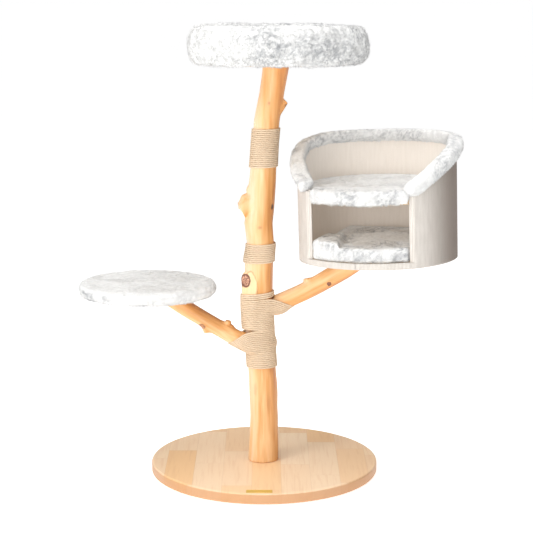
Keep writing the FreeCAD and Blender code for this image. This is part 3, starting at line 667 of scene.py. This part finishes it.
def wound_line(log, branches, low, high, tilt):
    """The line of a rope wound up the log, touching turns, taking in branches on its way.
    A branch is (surface, low height, high height, knee, slope), to the left if its knee is negative.
    The turns come to tilt by the last one."""
    turns = []
    for index in range(int(round((high - low) / ROPE))):
        height = low + ROPE * index
        sides = {"left": None, "right": None}
        surfaces = [log]
        for surface, start, end, knee, slope in branches:
            if start <= height <= end:
                sides["left" if knee < 0 else "right"] = (knee, slope)
                surfaces.append(surface)
        lean = tilt * step_up(height, high - 40 * MM, high)
        level = rope_level(height, sides["left"], sides["right"], lean)
        turns.append(rope_turn(surfaces, log_middle(log, height), level, 0.46 * ROPE))
    line = []
    for turn, following in zip(turns, turns[1:] + turns[-1:]):
        share = np.linspace(0, 1, len(turn), endpoint=False)[:, None]
        joined = turn.copy()
        blend = step_up(share, 0.92, 1.0)
        joined[:, :2] = turn[:, :2] * (1 - blend) + following[:, :2] * blend
        joined[:, 2:] += ROPE * share
        line.append(joined)
    return np.vstack(line)


def rope_mesh(name, line):
    """Three strands twisted together along a line."""
    step = 1.7 * MM
    path = resample(line, step)
    for _ in range(2):
        path[1:-1] = (path[:-2] + 2 * path[1:-1] + path[2:]) / 4
    forward = unit(np.gradient(path, axis=0))
    side = unit(np.cross(forward, [0, 0, 1]))
    up = np.cross(side, forward)
    around = full_turn(12)
    travel = np.arange(len(path)) * step
    twist = 3 * around[None, :] - 2 * math.pi * travel[:, None] / (3.2 * ROPE)
    fray = 1 + 0.05 * noise(path, 0.02, 4)[:, None]
    radius = ROPE / 2 * (0.97 + 0.06 * np.cos(twist)) * fray
    rings = (path[:, None, :] + radius[..., None] * (np.cos(around)[None, :, None] * side[:, None, :]
                                                     + np.sin(around)[None, :, None] * up[:, None, :]))
    mesh = bpy.data.meshes.new(name)
    mesh.from_pydata(rings.reshape(-1, 3).tolist(), [], lidded_faces(len(path), len(around)))
    # Mark the grooves between strands, for the painted shade there.
    mark_points(mesh, "painted_groove_shade", (0.5 - 0.5 * np.cos(twist)).ravel())
    return mesh


def wind_rope(name, log, branches, low, high, tilt, material, *nodes):
    """A wrap of touching turns, from low to high in millimetres."""
    line = wound_line(log, branches, MM * low, MM * high, tilt)
    piece = show(name, rope_mesh(name, line), material)
    return stand_for(piece, "tree", "rope", *nodes)


# ---- plush ----

def pile_grey(points, patch, seed, amount):
    """Where the pile parts and shows its grey: thin wandering lines in loose groups."""
    bent = points + 0.006 * np.stack([noise(points, 0.02, seed + k) for k in (7, 8, 9)], axis=1)
    lines = 1 - np.abs(noise(bent, [0.016, 0.016, 0.009], seed + 1)) / 0.2
    short = 1 - np.abs(noise(bent, [0.009, 0.009, 0.005], seed + 2)) / 0.25
    groups = step_up(noise(points, patch, seed) + amount, -0.1, 0.5)
    return groups * np.clip(np.maximum(lines, 0.8 * short), 0, 1)


def pile_tufts(mesh, spacing, length, lean, seed):
    """Small closed blades of pile all over a mesh, leaning with its swirls: their points and faces."""
    points, corners = mesh_points(mesh), mesh_triangles(mesh)
    a, b, c = (points[corners[:, k]] for k in range(3))
    cross = np.cross(b - a, c - a)
    area = np.linalg.norm(cross, axis=1) / 2
    chance = np.random.default_rng(seed)
    count = int(area.sum() / spacing ** 2)
    chosen = chance.choice(len(corners), count, p=area / area.sum())
    first, second = chance.random((2, count, 1))
    over = first + second > 1
    first, second = np.where(over, 1 - first, first), np.where(over, 1 - second, second)
    roots = a[chosen] + first * (b - a)[chosen] + second * (c - a)[chosen]
    out = cross[chosen] / (2 * area[chosen, None])
    swirl = np.stack([noise(roots, 0.045, seed + k) + 0.7 * noise(roots, 0.011, seed + 5 + k)
                      for k in range(3)], axis=1)
    swirl[:, 2] -= 0.35
    swirl -= out * (swirl * out).sum(axis=1, keepdims=True)
    swirl = unit(swirl)
    flat = np.clip(out[:, 2:], 0, 1)
    angle = lean + (1.45 - lean) * flat
    stray = 0.2 * (chance.random((count, 3)) - 0.5)
    heading = unit(out * np.cos(angle) + swirl * np.sin(angle) + stray)
    reach = length * (0.55 + 0.75 * chance.random((count, 1)))
    side = unit(np.cross(heading, out + [1e-3, 0, 0]))
    other = np.cross(heading, side)
    width = 0.75 * MM * (0.7 + 0.6 * chance.random((count, 1)))
    blades = [roots - out * 0.0012 + width * (math.cos(turn) * side + math.sin(turn) * other)
              for turn in (0, 2 * math.pi / 3, 4 * math.pi / 3)]
    blades.append(roots + heading * reach)
    points = np.stack(blades, axis=1).reshape(-1, 3)
    start = 4 * np.arange(count)[:, None]
    faces = np.concatenate([start + corner for corner in ([0, 1, 3], [1, 2, 3], [2, 0, 3], [0, 2, 1])])
    return points, faces


def plush_piece(name, mesh, material, patch, seed, zone=None, pile=7 * MM, lumps=1.6 * MM, amount=0.0):
    """A closed mesh with a lumpy pile: swellings, partings where it is grey, and blades of fibre."""
    points = mesh_points(mesh)
    grey = pile_grey(points, patch, seed, amount)
    if zone is not None:
        grey = grey * zone(points)
    rise = lumps * (0.8 * noise(points, 0.03, seed + 3) + 0.5 * noise(points, 0.012, seed + 4)
                    + 0.25 * noise(points, 0.005, seed + 6))
    push_out(mesh, rise - 1.5 * MM * grey)
    base_points, base_faces = mesh_points(mesh), [list(p.vertices) for p in mesh.polygons]
    blade_points, blade_faces = pile_tufts(mesh, 2.3 * MM, pile, 1.05, seed + PILE_SEED)
    blade_grey = pile_grey(blade_points, patch, seed, amount)
    if zone is not None:
        blade_grey = blade_grey * zone(blade_points)
    full = bpy.data.meshes.new(name)
    full.from_pydata(np.vstack([base_points, blade_points]).tolist(), [],
                     base_faces + (blade_faces + len(base_points)).tolist())
    mark_points(full, "grey", np.concatenate([grey, blade_grey]))
    bpy.data.meshes.remove(mesh)
    return show(name, full, material)


def turned_mesh(name, section, middle, step=4 * MM):
    """A closed section of (radius, height) points turned round an upright axis."""
    section = np.asarray(section)
    count = int(2 * math.pi * section[:, 0].max() / step)
    turn = full_turn(count)
    rings = np.stack([middle[0] + np.cos(turn)[:, None] * section[None, :, 0],
                      middle[1] + np.sin(turn)[:, None] * section[None, :, 0],
                      np.broadcast_to(section[None, :, 1], (count, len(section)))], axis=2)
    return new_mesh(name, rings.reshape(-1, 3), grid_faces(count, len(section), True, True))


def pad_mesh(name, outline, low, high, edge, dome, matrix, shape=None, step=4 * MM):
    """A stuffed pad over a closed outline: rounded edge, domed top, flat underside."""
    middle = outline.mean(axis=0)
    reach = np.linalg.norm(outline - middle, axis=1).max()
    flat = np.arange(0, reach - edge, step) / (reach - edge)
    bend = np.linspace(0, math.pi / 2, 7)[1:-1]
    half = min(edge, (high - low) / 2)
    rings = [(share, edge, low) for share in flat]
    rings += [(1, edge * (1 - math.sin(a)), low + half * (1 - math.cos(a))) for a in bend]
    rings += [(1, 0, z) for z in np.linspace(low + half, high - half, 3 if high - low > 2 * half + MM else 2)]
    rings += [(1, edge * (1 - math.cos(a)), high - half * (1 - math.sin(a))) for a in bend]
    rings += [(share, edge, high + dome * (1 - share ** 2)) for share in flat[::-1]]
    ray = outline - middle
    length = np.linalg.norm(ray, axis=1, keepdims=True)
    grid = []
    for share, inset, height in rings:
        flat_ring = middle + ray * share * (1 - inset / length)
        grid.append(np.column_stack([flat_ring, np.full(len(ray), height)]))
    grid = np.array(grid)
    if shape is not None:
        grid = shape(grid)
    points = placed(matrix, grid.reshape(-1, 3))
    return new_mesh(name, points, grid_faces(len(rings), len(outline), False, True))


def tube_mesh(name, path, section, outward):
    """A section swept along an open path; outward gives the section's sideways direction."""
    forward = unit(np.gradient(path, axis=0))
    side = unit(outward - forward * (outward * forward).sum(axis=1, keepdims=True))
    up = np.cross(side, forward)
    travel = travelled(path)
    ends = np.minimum(travel, travel[-1] - travel)
    size = np.sqrt(np.clip(1 - (1 - np.clip(ends / (14 * MM), 0, 1)) ** 2, 0.02, 1))[:, None, None]
    rings = path[:, None, :] + size * (section[None, :, :1] * side[:, None, :]
                                       + section[None, :, 1:] * up[:, None, :])
    return rings_mesh(name, rings)


def make_perch(plush):
    low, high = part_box("perch_cover")
    middle = (low + high) / 2
    radius = (high.x - low.x) / 2
    z, top = low.z, high.z
    edge = curved([(0.165, z), (radius - 8 * MM, z + MM), (radius - MM, z + 10 * MM),
                   (radius - MM, z + 20 * MM), (radius - 6 * MM, top - 4 * MM),
                   (radius - 18 * MM, top)], 3 * MM)
    across, dome = np.arange(radius - 22 * MM, 0, -4 * MM), 1.5 * MM
    over = np.column_stack([across, top + dome * (1 - (across / radius) ** 2)])
    under, tuck = top - 3.6 * MM, z + 2.8 * MM
    inner = [(0, top + dome), (0, under), (0.06, under), (0.12, under), (0.1722, under),
             (0.1722, tuck), (0.14, tuck), (0.14, z)]
    mesh = turned_mesh("perch_cover_mesh", np.vstack([edge, over, inner]), middle)
    piece = plush_piece("perch_cover", mesh, plush, 0.05, 11, lumps=1.0 * MM, pile=5 * MM,
                        zone=lambda p: step_up(top - 8 * MM - p[:, 2], -2 * MM, 6 * MM))
    stand_for(piece, "tree", "plush", "perch_cover")


def make_bed(plush):
    low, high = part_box("bed_bolster")
    middle = (low + high) / 2
    outer, z = (high.x - low.x) / 2, low.z
    ring = ((33, 1), (14, 5), (3, 22), (0, 48), (3, 72), (15, 92), (36, 98), (58, 94), (74, 76),
            (79, 48), (76, 26), (70, 17), (52, 16), (34, 16))
    section = curved([(outer - inset * MM, z + rise * MM) for inset, rise in ring], 4 * MM, closed=True)
    mesh = turned_mesh("bed_bolster_mesh", section, middle, 4.5 * MM)
    points = mesh_points(mesh)
    turn = np.arctan2(points[:, 1] - middle.y, points[:, 0] - middle.x)
    points[:, 2] -= 3 * MM * step_up(np.cos(turn - 0.1), 0.5, 1.0) * step_up(points[:, 2], z + 0.05, z + 0.09)
    move_points(mesh, points)
    piece = plush_piece("bed_bolster", mesh, plush, [0.06, 0.06, 0.04], 23, lumps=2.6 * MM,
                        zone=lambda p: step_up(p[:, 0], -0.14, 0.03), amount=0.5)
    stand_for(piece, "tree", "plush", "bed_bolster")
    low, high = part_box("bed_cushion")
    turn = full_turn(200)
    radius = (high.x - low.x) / 2 - MM
    outline = radius * circle(turn)
    place = Matrix.Translation(Vector((middle.x, middle.y, 0)))
    mesh = pad_mesh("bed_cushion_mesh", outline, low.z, high.z - 5 * MM, 14 * MM, 4 * MM, place)
    piece = plush_piece("bed_cushion", mesh, plush, 0.05, 31, pile=6 * MM)
    stand_for(piece, "bed_cushion", "plush", "bed_cushion")


# ---- the cubby ----

def cubby_frame(joints):
    """The cubby's own frame: Z up its wall, -Y out of its opening, origin under the middle of its floor."""
    axes = {joint["name"]: Vector(joint["axis"]) for joint in joints}
    up = axes["seat_pad_lift"]
    back = -axes["cabin_mat_slide"]
    frame = Matrix((back.cross(up), back, up)).transposed().to_4x4()
    frame.translation = Vector((298, 0, 576)) * MM
    return frame


def rim_height(y):
    """The middle of the rim trim: level at the back, then an arc down to the front."""
    back, radius, centre = 130 * MM, 442 * MM, -144 * MM
    fall = np.clip(back - np.asarray(y), 0, radius)
    return centre + np.sqrt(radius ** 2 - fall ** 2)


def wall_path(radius, front, lead):
    """The wall seen from above, from its left front end round the back to its right one."""
    half = math.asin(front / radius)
    turn = np.linspace(math.pi + half, -half, 400)
    arc = radius * circle(turn)
    if lead:
        start = [arc[0] + [share * lead, 0] for share in (1, 0.5, 0.2)]
        arc = np.vstack([start, arc, np.array(start[::-1]) * [-1, 1]])
    return resample(arc, WALL_STEP)


def wall_sheet(name, frame, path, low, top_drop, thickness, step=6 * MM):
    """Cloth standing on a path, from low up to just under the rim trim's middle."""
    rows = []
    top = rim_height(path[:, 1]) - top_drop
    share = np.linspace(0, 1, int((top.max() - low) / step))
    for (x, y), high in zip(path, top):
        heights = low + share * (high - low)
        rows.append(np.column_stack([np.full(len(share), x), np.full(len(share), y), heights]))
    grid = np.array(rows)
    mesh = sheet_mesh(name, placed(frame, grid.reshape(-1, 3)).reshape(grid.shape), thickness)
    return mesh, float((top - low).sum() * WALL_STEP)


def mark_across(mesh, frame, radius):
    """Keep each point's distance round the drum, for the ribs."""
    local = placed(frame.inverted(), mesh_points(mesh))
    mark_points(mesh, "across", np.arctan2(local[:, 0], local[:, 1]) * radius)


def make_cubby_walls(frame, outside, inside):
    front = 149.7 * MM
    path = wall_path(205.6 * MM, front, 12.9 * MM)
    mesh, area = wall_sheet("cubby_outer_cover", frame, path, 0.5 * MM, 8 * MM, 1.4 * MM)
    mark_across(mesh, frame, 206 * MM)
    cover = show("cubby_outer_cover", mesh, outside)
    stand_for(cover, "tree", "ribbed_fabric", "cubby_outer_cover")

    half = math.asin(141.5 / FRONT_RADIUS)
    turn = np.linspace(-half, half, 160)
    arc = np.stack([FRONT_RADIUS * np.sin(turn), 38.3 - FRONT_RADIUS * np.cos(turn)], axis=1) * MM
    heights = np.concatenate([[0.3], np.linspace(1, 15.4, 7), [16]]) * MM
    inset = np.array([2.4] + [0.6] * 7 + [2.8]) * MM
    grid = np.array([[(x * (1 - d / 0.2), y + d, z) for z, d in zip(heights, inset)] for x, y in arc])
    lip = sheet_mesh("cubby_front_lip", placed(frame, grid.reshape(-1, 3)).reshape(grid.shape), 1.4 * MM)
    mark_across(lip, frame, 206 * MM)
    lip = show("cubby_front_lip", lip, outside)
    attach(lip, "tree")

    path = wall_path(197.6 * MM, front - 1 * MM, 0)
    mesh, area = wall_sheet("cubby_lining", frame, path, 15.3 * MM, 8 * MM, 1.2 * MM)
    mark_across(mesh, frame, 197 * MM)
    lining = show("cubby_lining", mesh, inside)
    stand_for(lining, "tree", "ribbed_fabric", "cubby_lining")


def make_rim(frame, plush):
    """The plush roll along the rim, from one front end round the back to the other."""
    half = math.asin(151 / 203.5)
    turn = np.linspace(math.pi + half, -half, 500)
    flat = 203.5 * MM * circle(turn)
    line = np.column_stack([flat, rim_height(flat[:, 1])])
    path = resample(np.vstack([line, line[-1] + MM * np.array([-1, -3, -14])]), 4 * MM)
    outward = unit(np.column_stack([path[:, :2], np.zeros(len(path))]))
    section = oval(19 * MM, 17 * MM, 2.6, 4 * MM)
    section[:, 1] -= 5 * MM * step_up(-section[:, 0], 0, 16 * MM)
    mesh = tube_mesh("cubby_rim_mesh", path, section, outward)
    move_points(mesh, placed(frame, mesh_points(mesh)))
    piece = plush_piece("cubby_rim_trim", mesh, plush, 0.04, 47, lumps=1.8 * MM, pile=5 * MM, amount=0.05,
                        zone=lambda p: 0.75 * np.ones(len(p)))
    stand_for(piece, "tree", "plush", "cubby_rim_trim")


def front_arc(half_width, front):
    """A pad's shallow front edge, seen from above."""
    radius = FRONT_RADIUS * MM
    half = math.asin(half_width / radius)
    turn = np.linspace(-half, half, 60)
    return np.stack([radius * np.sin(turn), radius - front - radius * np.cos(turn)], axis=1)


def tongue(radius, half_width, front):
    """The seat pad's outline: round at the back, straight sides, a shallow front arc."""
    corner = math.asin(half_width / radius)
    back = np.linspace(-math.pi / 2 + corner, 1.5 * math.pi - corner, 120)
    outline = np.vstack([radius * circle(back), front_arc(half_width, front)])
    return resample(outline, 5 * MM, closed=True)


def square_tongue(half_width, back, front):
    """The mat's outline: cut corners at the back, a shallow front arc."""
    cut = 8 * MM
    corners = [(half_width, back - cut), (half_width - cut, back),
               (cut - half_width, back), (-half_width, back - cut)]
    return resample(np.vstack([front_arc(half_width, front), corners]), 5 * MM, closed=True)


def seat_shape(grid):
    """The seat pad's front hangs over the deck's front edge, unevenly."""
    x, y, z = grid[..., 0], grid[..., 1], grid[..., 2]
    deck_front = np.sqrt(np.maximum((FRONT_RADIUS * MM) ** 2 - x ** 2, 0)) - 50.3 * MM
    past = step_up(-y - deck_front, 0, 6 * MM)
    low = step_up(192 * MM - z, 0, 16 * MM)
    wave = 11 * MM + 1.2 * MM * np.sin(x * 38 + 0.6)
    shaped = grid.copy()
    shaped[..., 2] -= past * low * wave
    return shaped


def mat_shape(grid):
    """The mat has folds: a corner lying up at the front left and a ridge across the middle back."""
    x, y, z = grid[..., 0], grid[..., 1], grid[..., 2]
    top = step_up(z, 34 * MM, 48 * MM)
    flap = step_up(-x - 0.2 * y, 78 * MM, 92 * MM) * step_up(-y, 10 * MM, 60 * MM)
    line = y - 20 * MM - 0.35 * x
    ridge = np.exp(-(line / (16 * MM)) ** 2) * step_up(110 * MM - np.abs(x), 0, 50 * MM)
    rear = step_up(y, -100 * MM, 120 * MM)
    shaped = grid.copy()
    shaped[..., 2] += top * (15 * MM * flap + 5 * MM * ridge + 6 * MM * rear - 2 * MM)
    return shaped


def make_cubby_pads(frame, plush):
    outline = tongue(183 * MM, 127.6 * MM, 200 * MM)
    mesh = pad_mesh("seat_pad_mesh", outline, 172 * MM, 197 * MM, 12 * MM, 3 * MM, frame, seat_shape)
    inverse = frame.inverted()
    piece = plush_piece("seat_pad", mesh, plush, 0.05, 61, lumps=1.2 * MM, pile=6 * MM,
                        zone=lambda p: 0.1 + 0.9 * step_up(-placed(inverse, p)[:, 1], 0.135, 0.165),
                        amount=0.35)
    stand_for(piece, "seat_pad", "plush", "seat_pad")
    outline = square_tongue(124.3 * MM, 146 * MM, 191 * MM)
    mesh = pad_mesh("cabin_mat_mesh", outline, 16.2 * MM, 54 * MM, 9 * MM, 1 * MM, frame, mat_shape)
    piece = plush_piece("cabin_mat", mesh, plush, 0.05, 73, lumps=1.6 * MM, pile=5 * MM, amount=0.1)
    stand_for(piece, "cabin_mat", "plush", "cabin_mat")


# ---- base and hard pieces ----

def make_plaque():
    """A thin brass plate with cut corners and a raised edge, left blank."""
    low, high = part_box("base_plaque")
    middle = (low + high) / 2
    half_x, half_y = (high.x - low.x) / 2, (high.y - low.y) / 2

    def ring(inset, height):
        turn = full_turn(80)
        corner = max(4 * MM - inset, 1.5 * MM)
        across = np.clip(np.cos(turn) * 9, -1, 1) * (half_x - inset - corner) + corner * np.cos(turn)
        up = np.clip(np.sin(turn) * 9, -1, 1) * (half_y - inset - corner) + corner * np.sin(turn)
        return np.column_stack([middle.x + across, middle.y + up, np.full(80, height)])

    heights = [(6 * MM, low.z), (0.2 * MM, low.z), (0, high.z - 0.4 * MM), (0.4 * MM, high.z),
               (1.8 * MM, high.z), (2.2 * MM, high.z - 0.3 * MM), (8 * MM, high.z - 0.3 * MM)]
    rings = np.array([ring(inset, height) for inset, height in heights])
    brass = even_paint("brass", tint(236, 206, 112), tint(222, 184, 86), 0.004, 0.45, Metallic=0.55)
    piece = show("base_plaque", rings_mesh("base_plaque", rings), brass, smooth=False)
    stand_for(piece, "tree", "plaque_brass", "base_plaque")


def dress_nodes(nodes, paints):
    """Give the CAD pieces that stay in view their materials."""
    for names, material in paints:
        for name in names:
            nodes[name].data.materials.clear()
            nodes[name].data.materials.append(material)


# ---- stage ----

def make_camera():
    camera = bpy.data.objects.new("camera", bpy.data.cameras.new("camera"))
    camera.location = (0.006, -3.8625, 1.2477)
    camera.rotation_euler = (math.radians(90 - 10.24), 0, 0)
    camera.data.lens = 101.3
    camera.data.sensor_width = 36
    camera.data.clip_end = 3000
    bpy.context.scene.collection.objects.link(camera)
    bpy.context.scene.camera = camera


def make_light(name, place, aim, size, power, colour):
    light = bpy.data.lights.new(name, "AREA")
    light.shape = "DISK"
    light.size = size
    light.energy = power
    light.color = colour
    lamp = bpy.data.objects.new(name, light)
    lamp.location = place
    lamp.rotation_euler = (Vector(aim) - Vector(place)).to_track_quat("-Z", "Y").to_euler()
    bpy.context.scene.collection.objects.link(lamp)


def make_stage():
    """A wide pale floor that glows, a white room that is dimmer overhead, and soft lights from the
    left, front and top."""
    paint = Paint("studio_floor")
    colour = paint.mix(paint.noise(paint.place(), 2.0, 2.0), tint(250, 250, 250), tint(253, 253, 253))
    paint.finish(colour, 0.9, Emission_Color=colour, Emission_Strength=0.64, Specular_IOR_Level=0.0)
    reach = 900.0
    points = [(reach * x, reach * y, 0) for x, y in ((-1, -1), (1, -1), (1, 1), (-1, 1))]
    mesh = bpy.data.meshes.new("studio_floor")
    mesh.from_pydata(points, [], [(0, 1, 2, 3)])
    show("studio_floor", mesh, paint.material, smooth=False)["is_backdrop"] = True
    world = bpy.data.worlds.new("studio")
    world.use_nodes = True
    tree = world.node_tree
    sky, place = tree.nodes["Background"], tree.nodes.new("ShaderNodeTexCoord")
    height, strength = tree.nodes.new("ShaderNodeSeparateXYZ"), tree.nodes.new("ShaderNodeMapRange")
    # Full strength up to just over the horizon, then dimmer overhead.
    for socket, value in zip(strength.inputs[1:5], (0.12, 0.2, 1.0, 0.38)):
        socket.default_value = value
    tree.links.new(place.outputs["Generated"], height.inputs[0])
    tree.links.new(height.outputs[2], strength.inputs[0])
    tree.links.new(strength.outputs[0], sky.inputs["Strength"])
    sky.inputs["Color"].default_value = (1, 1, 1, 1)
    bpy.context.scene.world = world
    make_light("key", (-2.6, -2.6, 2.9), (0, 0, 0.7), 1.8, 66, (1.0, 0.985, 0.96))
    make_light("top", (0.2, -0.4, 3.4), (0, 0, 0.5), 3.2, 70, (1.0, 1.0, 1.0))
    make_light("fill", (-0.9, -3.2, 0.85), (0.2, 0, 0.7), 1.2, 32, (1.0, 1.0, 1.0))
    view = bpy.context.scene.view_settings
    view.view_transform = "Standard"
    view.look = "None"
    view.exposure = 0.0


def keep_size(sizes, when):
    low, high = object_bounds()
    sizes[when] = [[round(value, 5) for value in corner] for corner in (low, high)]


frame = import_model()
nodes = frame["nodes"]
sizes = {}
keep_size(sizes, "frame")

plush = plush_paint()
rope = rope_paint()
steel = even_paint("steel", tint(196, 198, 202), tint(168, 170, 176), 0.003, 0.35, Metallic=1.0)
rubber = even_paint("rubber", tint(52, 52, 54), tint(38, 38, 40), 0.002, 0.8)
foam = even_paint("foam", tint(240, 236, 226), tint(224, 218, 204), 0.002, 0.95)
dowel = even_paint("dowel", tint(222, 190, 140), tint(200, 164, 112), 0.006, 0.7)
plywood = board_paint()
dress_nodes(nodes, [
    (["base_board"], stave_paint()),
    (["base_feet"], rubber),
    (["trunk_bolt", "trunk_washer", "left_branch_bolt", "right_branch_bolt", "perch_screws", "bed_screws",
      "cubby_floor_screws", "cubby_deck_screws"], steel),
    (["trunk_dowels", "cubby_deck_cleats"], dowel),
    (["perch_board", "bed_board", "cubby_floor_board", "cubby_deck_board", "cubby_wall_core"], plywood),
    (["perch_foam"], foam),
])

brown, pink, dark = tint(150, 92, 58), tint(214, 160, 130), tint(104, 58, 38)
amber = tint(216, 150, 84)
log = sculpted_wood(
    "trunk_log", nodes, 0.0,
    [(27, 0, 345, 16, 5), (-60, -3, 740, 15, 13), (-50, -3, 754, 13, 10), (-66, -3, 704, 10, 4),
     (-72, -4, 718, 7, -4)],
    wood_paint("log_wood", 0.0,
               hearts=[((-46, -27, 519), (13, 24, 17), pink, dark)],
               arches=[((-36, -34, 492), (22, 20, 54))],
               stains=[((25, -18, 712), (7, 9, 10), tint(74, 38, 22), 1.0),
                       ((-8, -40, 660), (8, 10, 6), brown, 0.4),
                       ((16, -30, 980), (4, 8, 6), brown, 0.6), ((22, 0, 1030), (70, 70, 130), amber, 0.4),
                       ((-68, -4, 716), (9, 20, 22), brown, 0.35),
                       ((56, -3, 974), (8, 10, 8), dark, 0.7), ((-20, -38, 230), (6, 10, 22), brown, 0.25),
                       ((14, -36, 190), (8, 12, 40), brown, 0.25)]))
left = sculpted_wood(
    "left_branch", nodes, math.radians(60),
    [(-160, -28, 397, 12, 3.0), (-153, -10, 382, 14, 12.0), (-108, -18, 398, 10, 6.0),
     (-86, -20, 393, 10, 5.0), (-48, -30, 378, 14, 5.0)],
    wood_paint("left_branch_wood", math.radians(60),
               hearts=[((-161, -30, 397), (9, 14, 8), tint(196, 140, 90), brown)],
               stains=[((-95, -20, 412), (7, 12, 5), brown, 0.7),
                       ((-180, -10, 452), (22, 24, 5), brown, 0.5)]))
right = sculpted_wood(
    "right_branch", nodes, math.radians(-60),
    [(117, -2, 512, 13, 5.0), (45, 0, 424, 30, 8.0)],
    wood_paint("right_branch_wood", math.radians(-60),
               hearts=[((172, -24, 509), (6, 10, 6), brown, dark)]))

log_surface, left_surface, right_surface = (surface_of(piece.data) for piece in (log, left, right))
wind_rope("rope_wrap_top", log_surface, [], 812, 913, 0.0, rope, "rope_wrap_top")
wind_rope("rope_wrap_middle", log_surface, [], 563, 613, 0.0, rope, "rope_wrap_middle")
wind_rope("rope_wrap_main", log_surface,
          [(left_surface, 0.321, 0.381, -0.046, 0.667), (right_surface, 0.410, 0.467, 0.022, 0.49)],
          284, 482, 0.055, rope, "rope_wrap_main", "rope_lash_left", "rope_lash_right")

make_perch(plush)
make_bed(plush)
cubby = cubby_frame(frame["joints"])
# The outside is tinted darker towards its right-hand side, painted shade; the inside glows, painted light.
make_cubby_walls(
    cubby,
    ribbed_paint("ribbed_outside", tint(226, 220, 213), tint(196, 189, 181), 0.0011, 0.9, 0.0),
    ribbed_paint("ribbed_inside", tint(230, 223, 215), tint(218, 210, 201), 0.0004, 0.0, 0.14))
make_rim(cubby, plush)
make_cubby_pads(cubby, plush)
make_plaque()

make_camera()
make_stage()
keep_size(sizes, "scene")
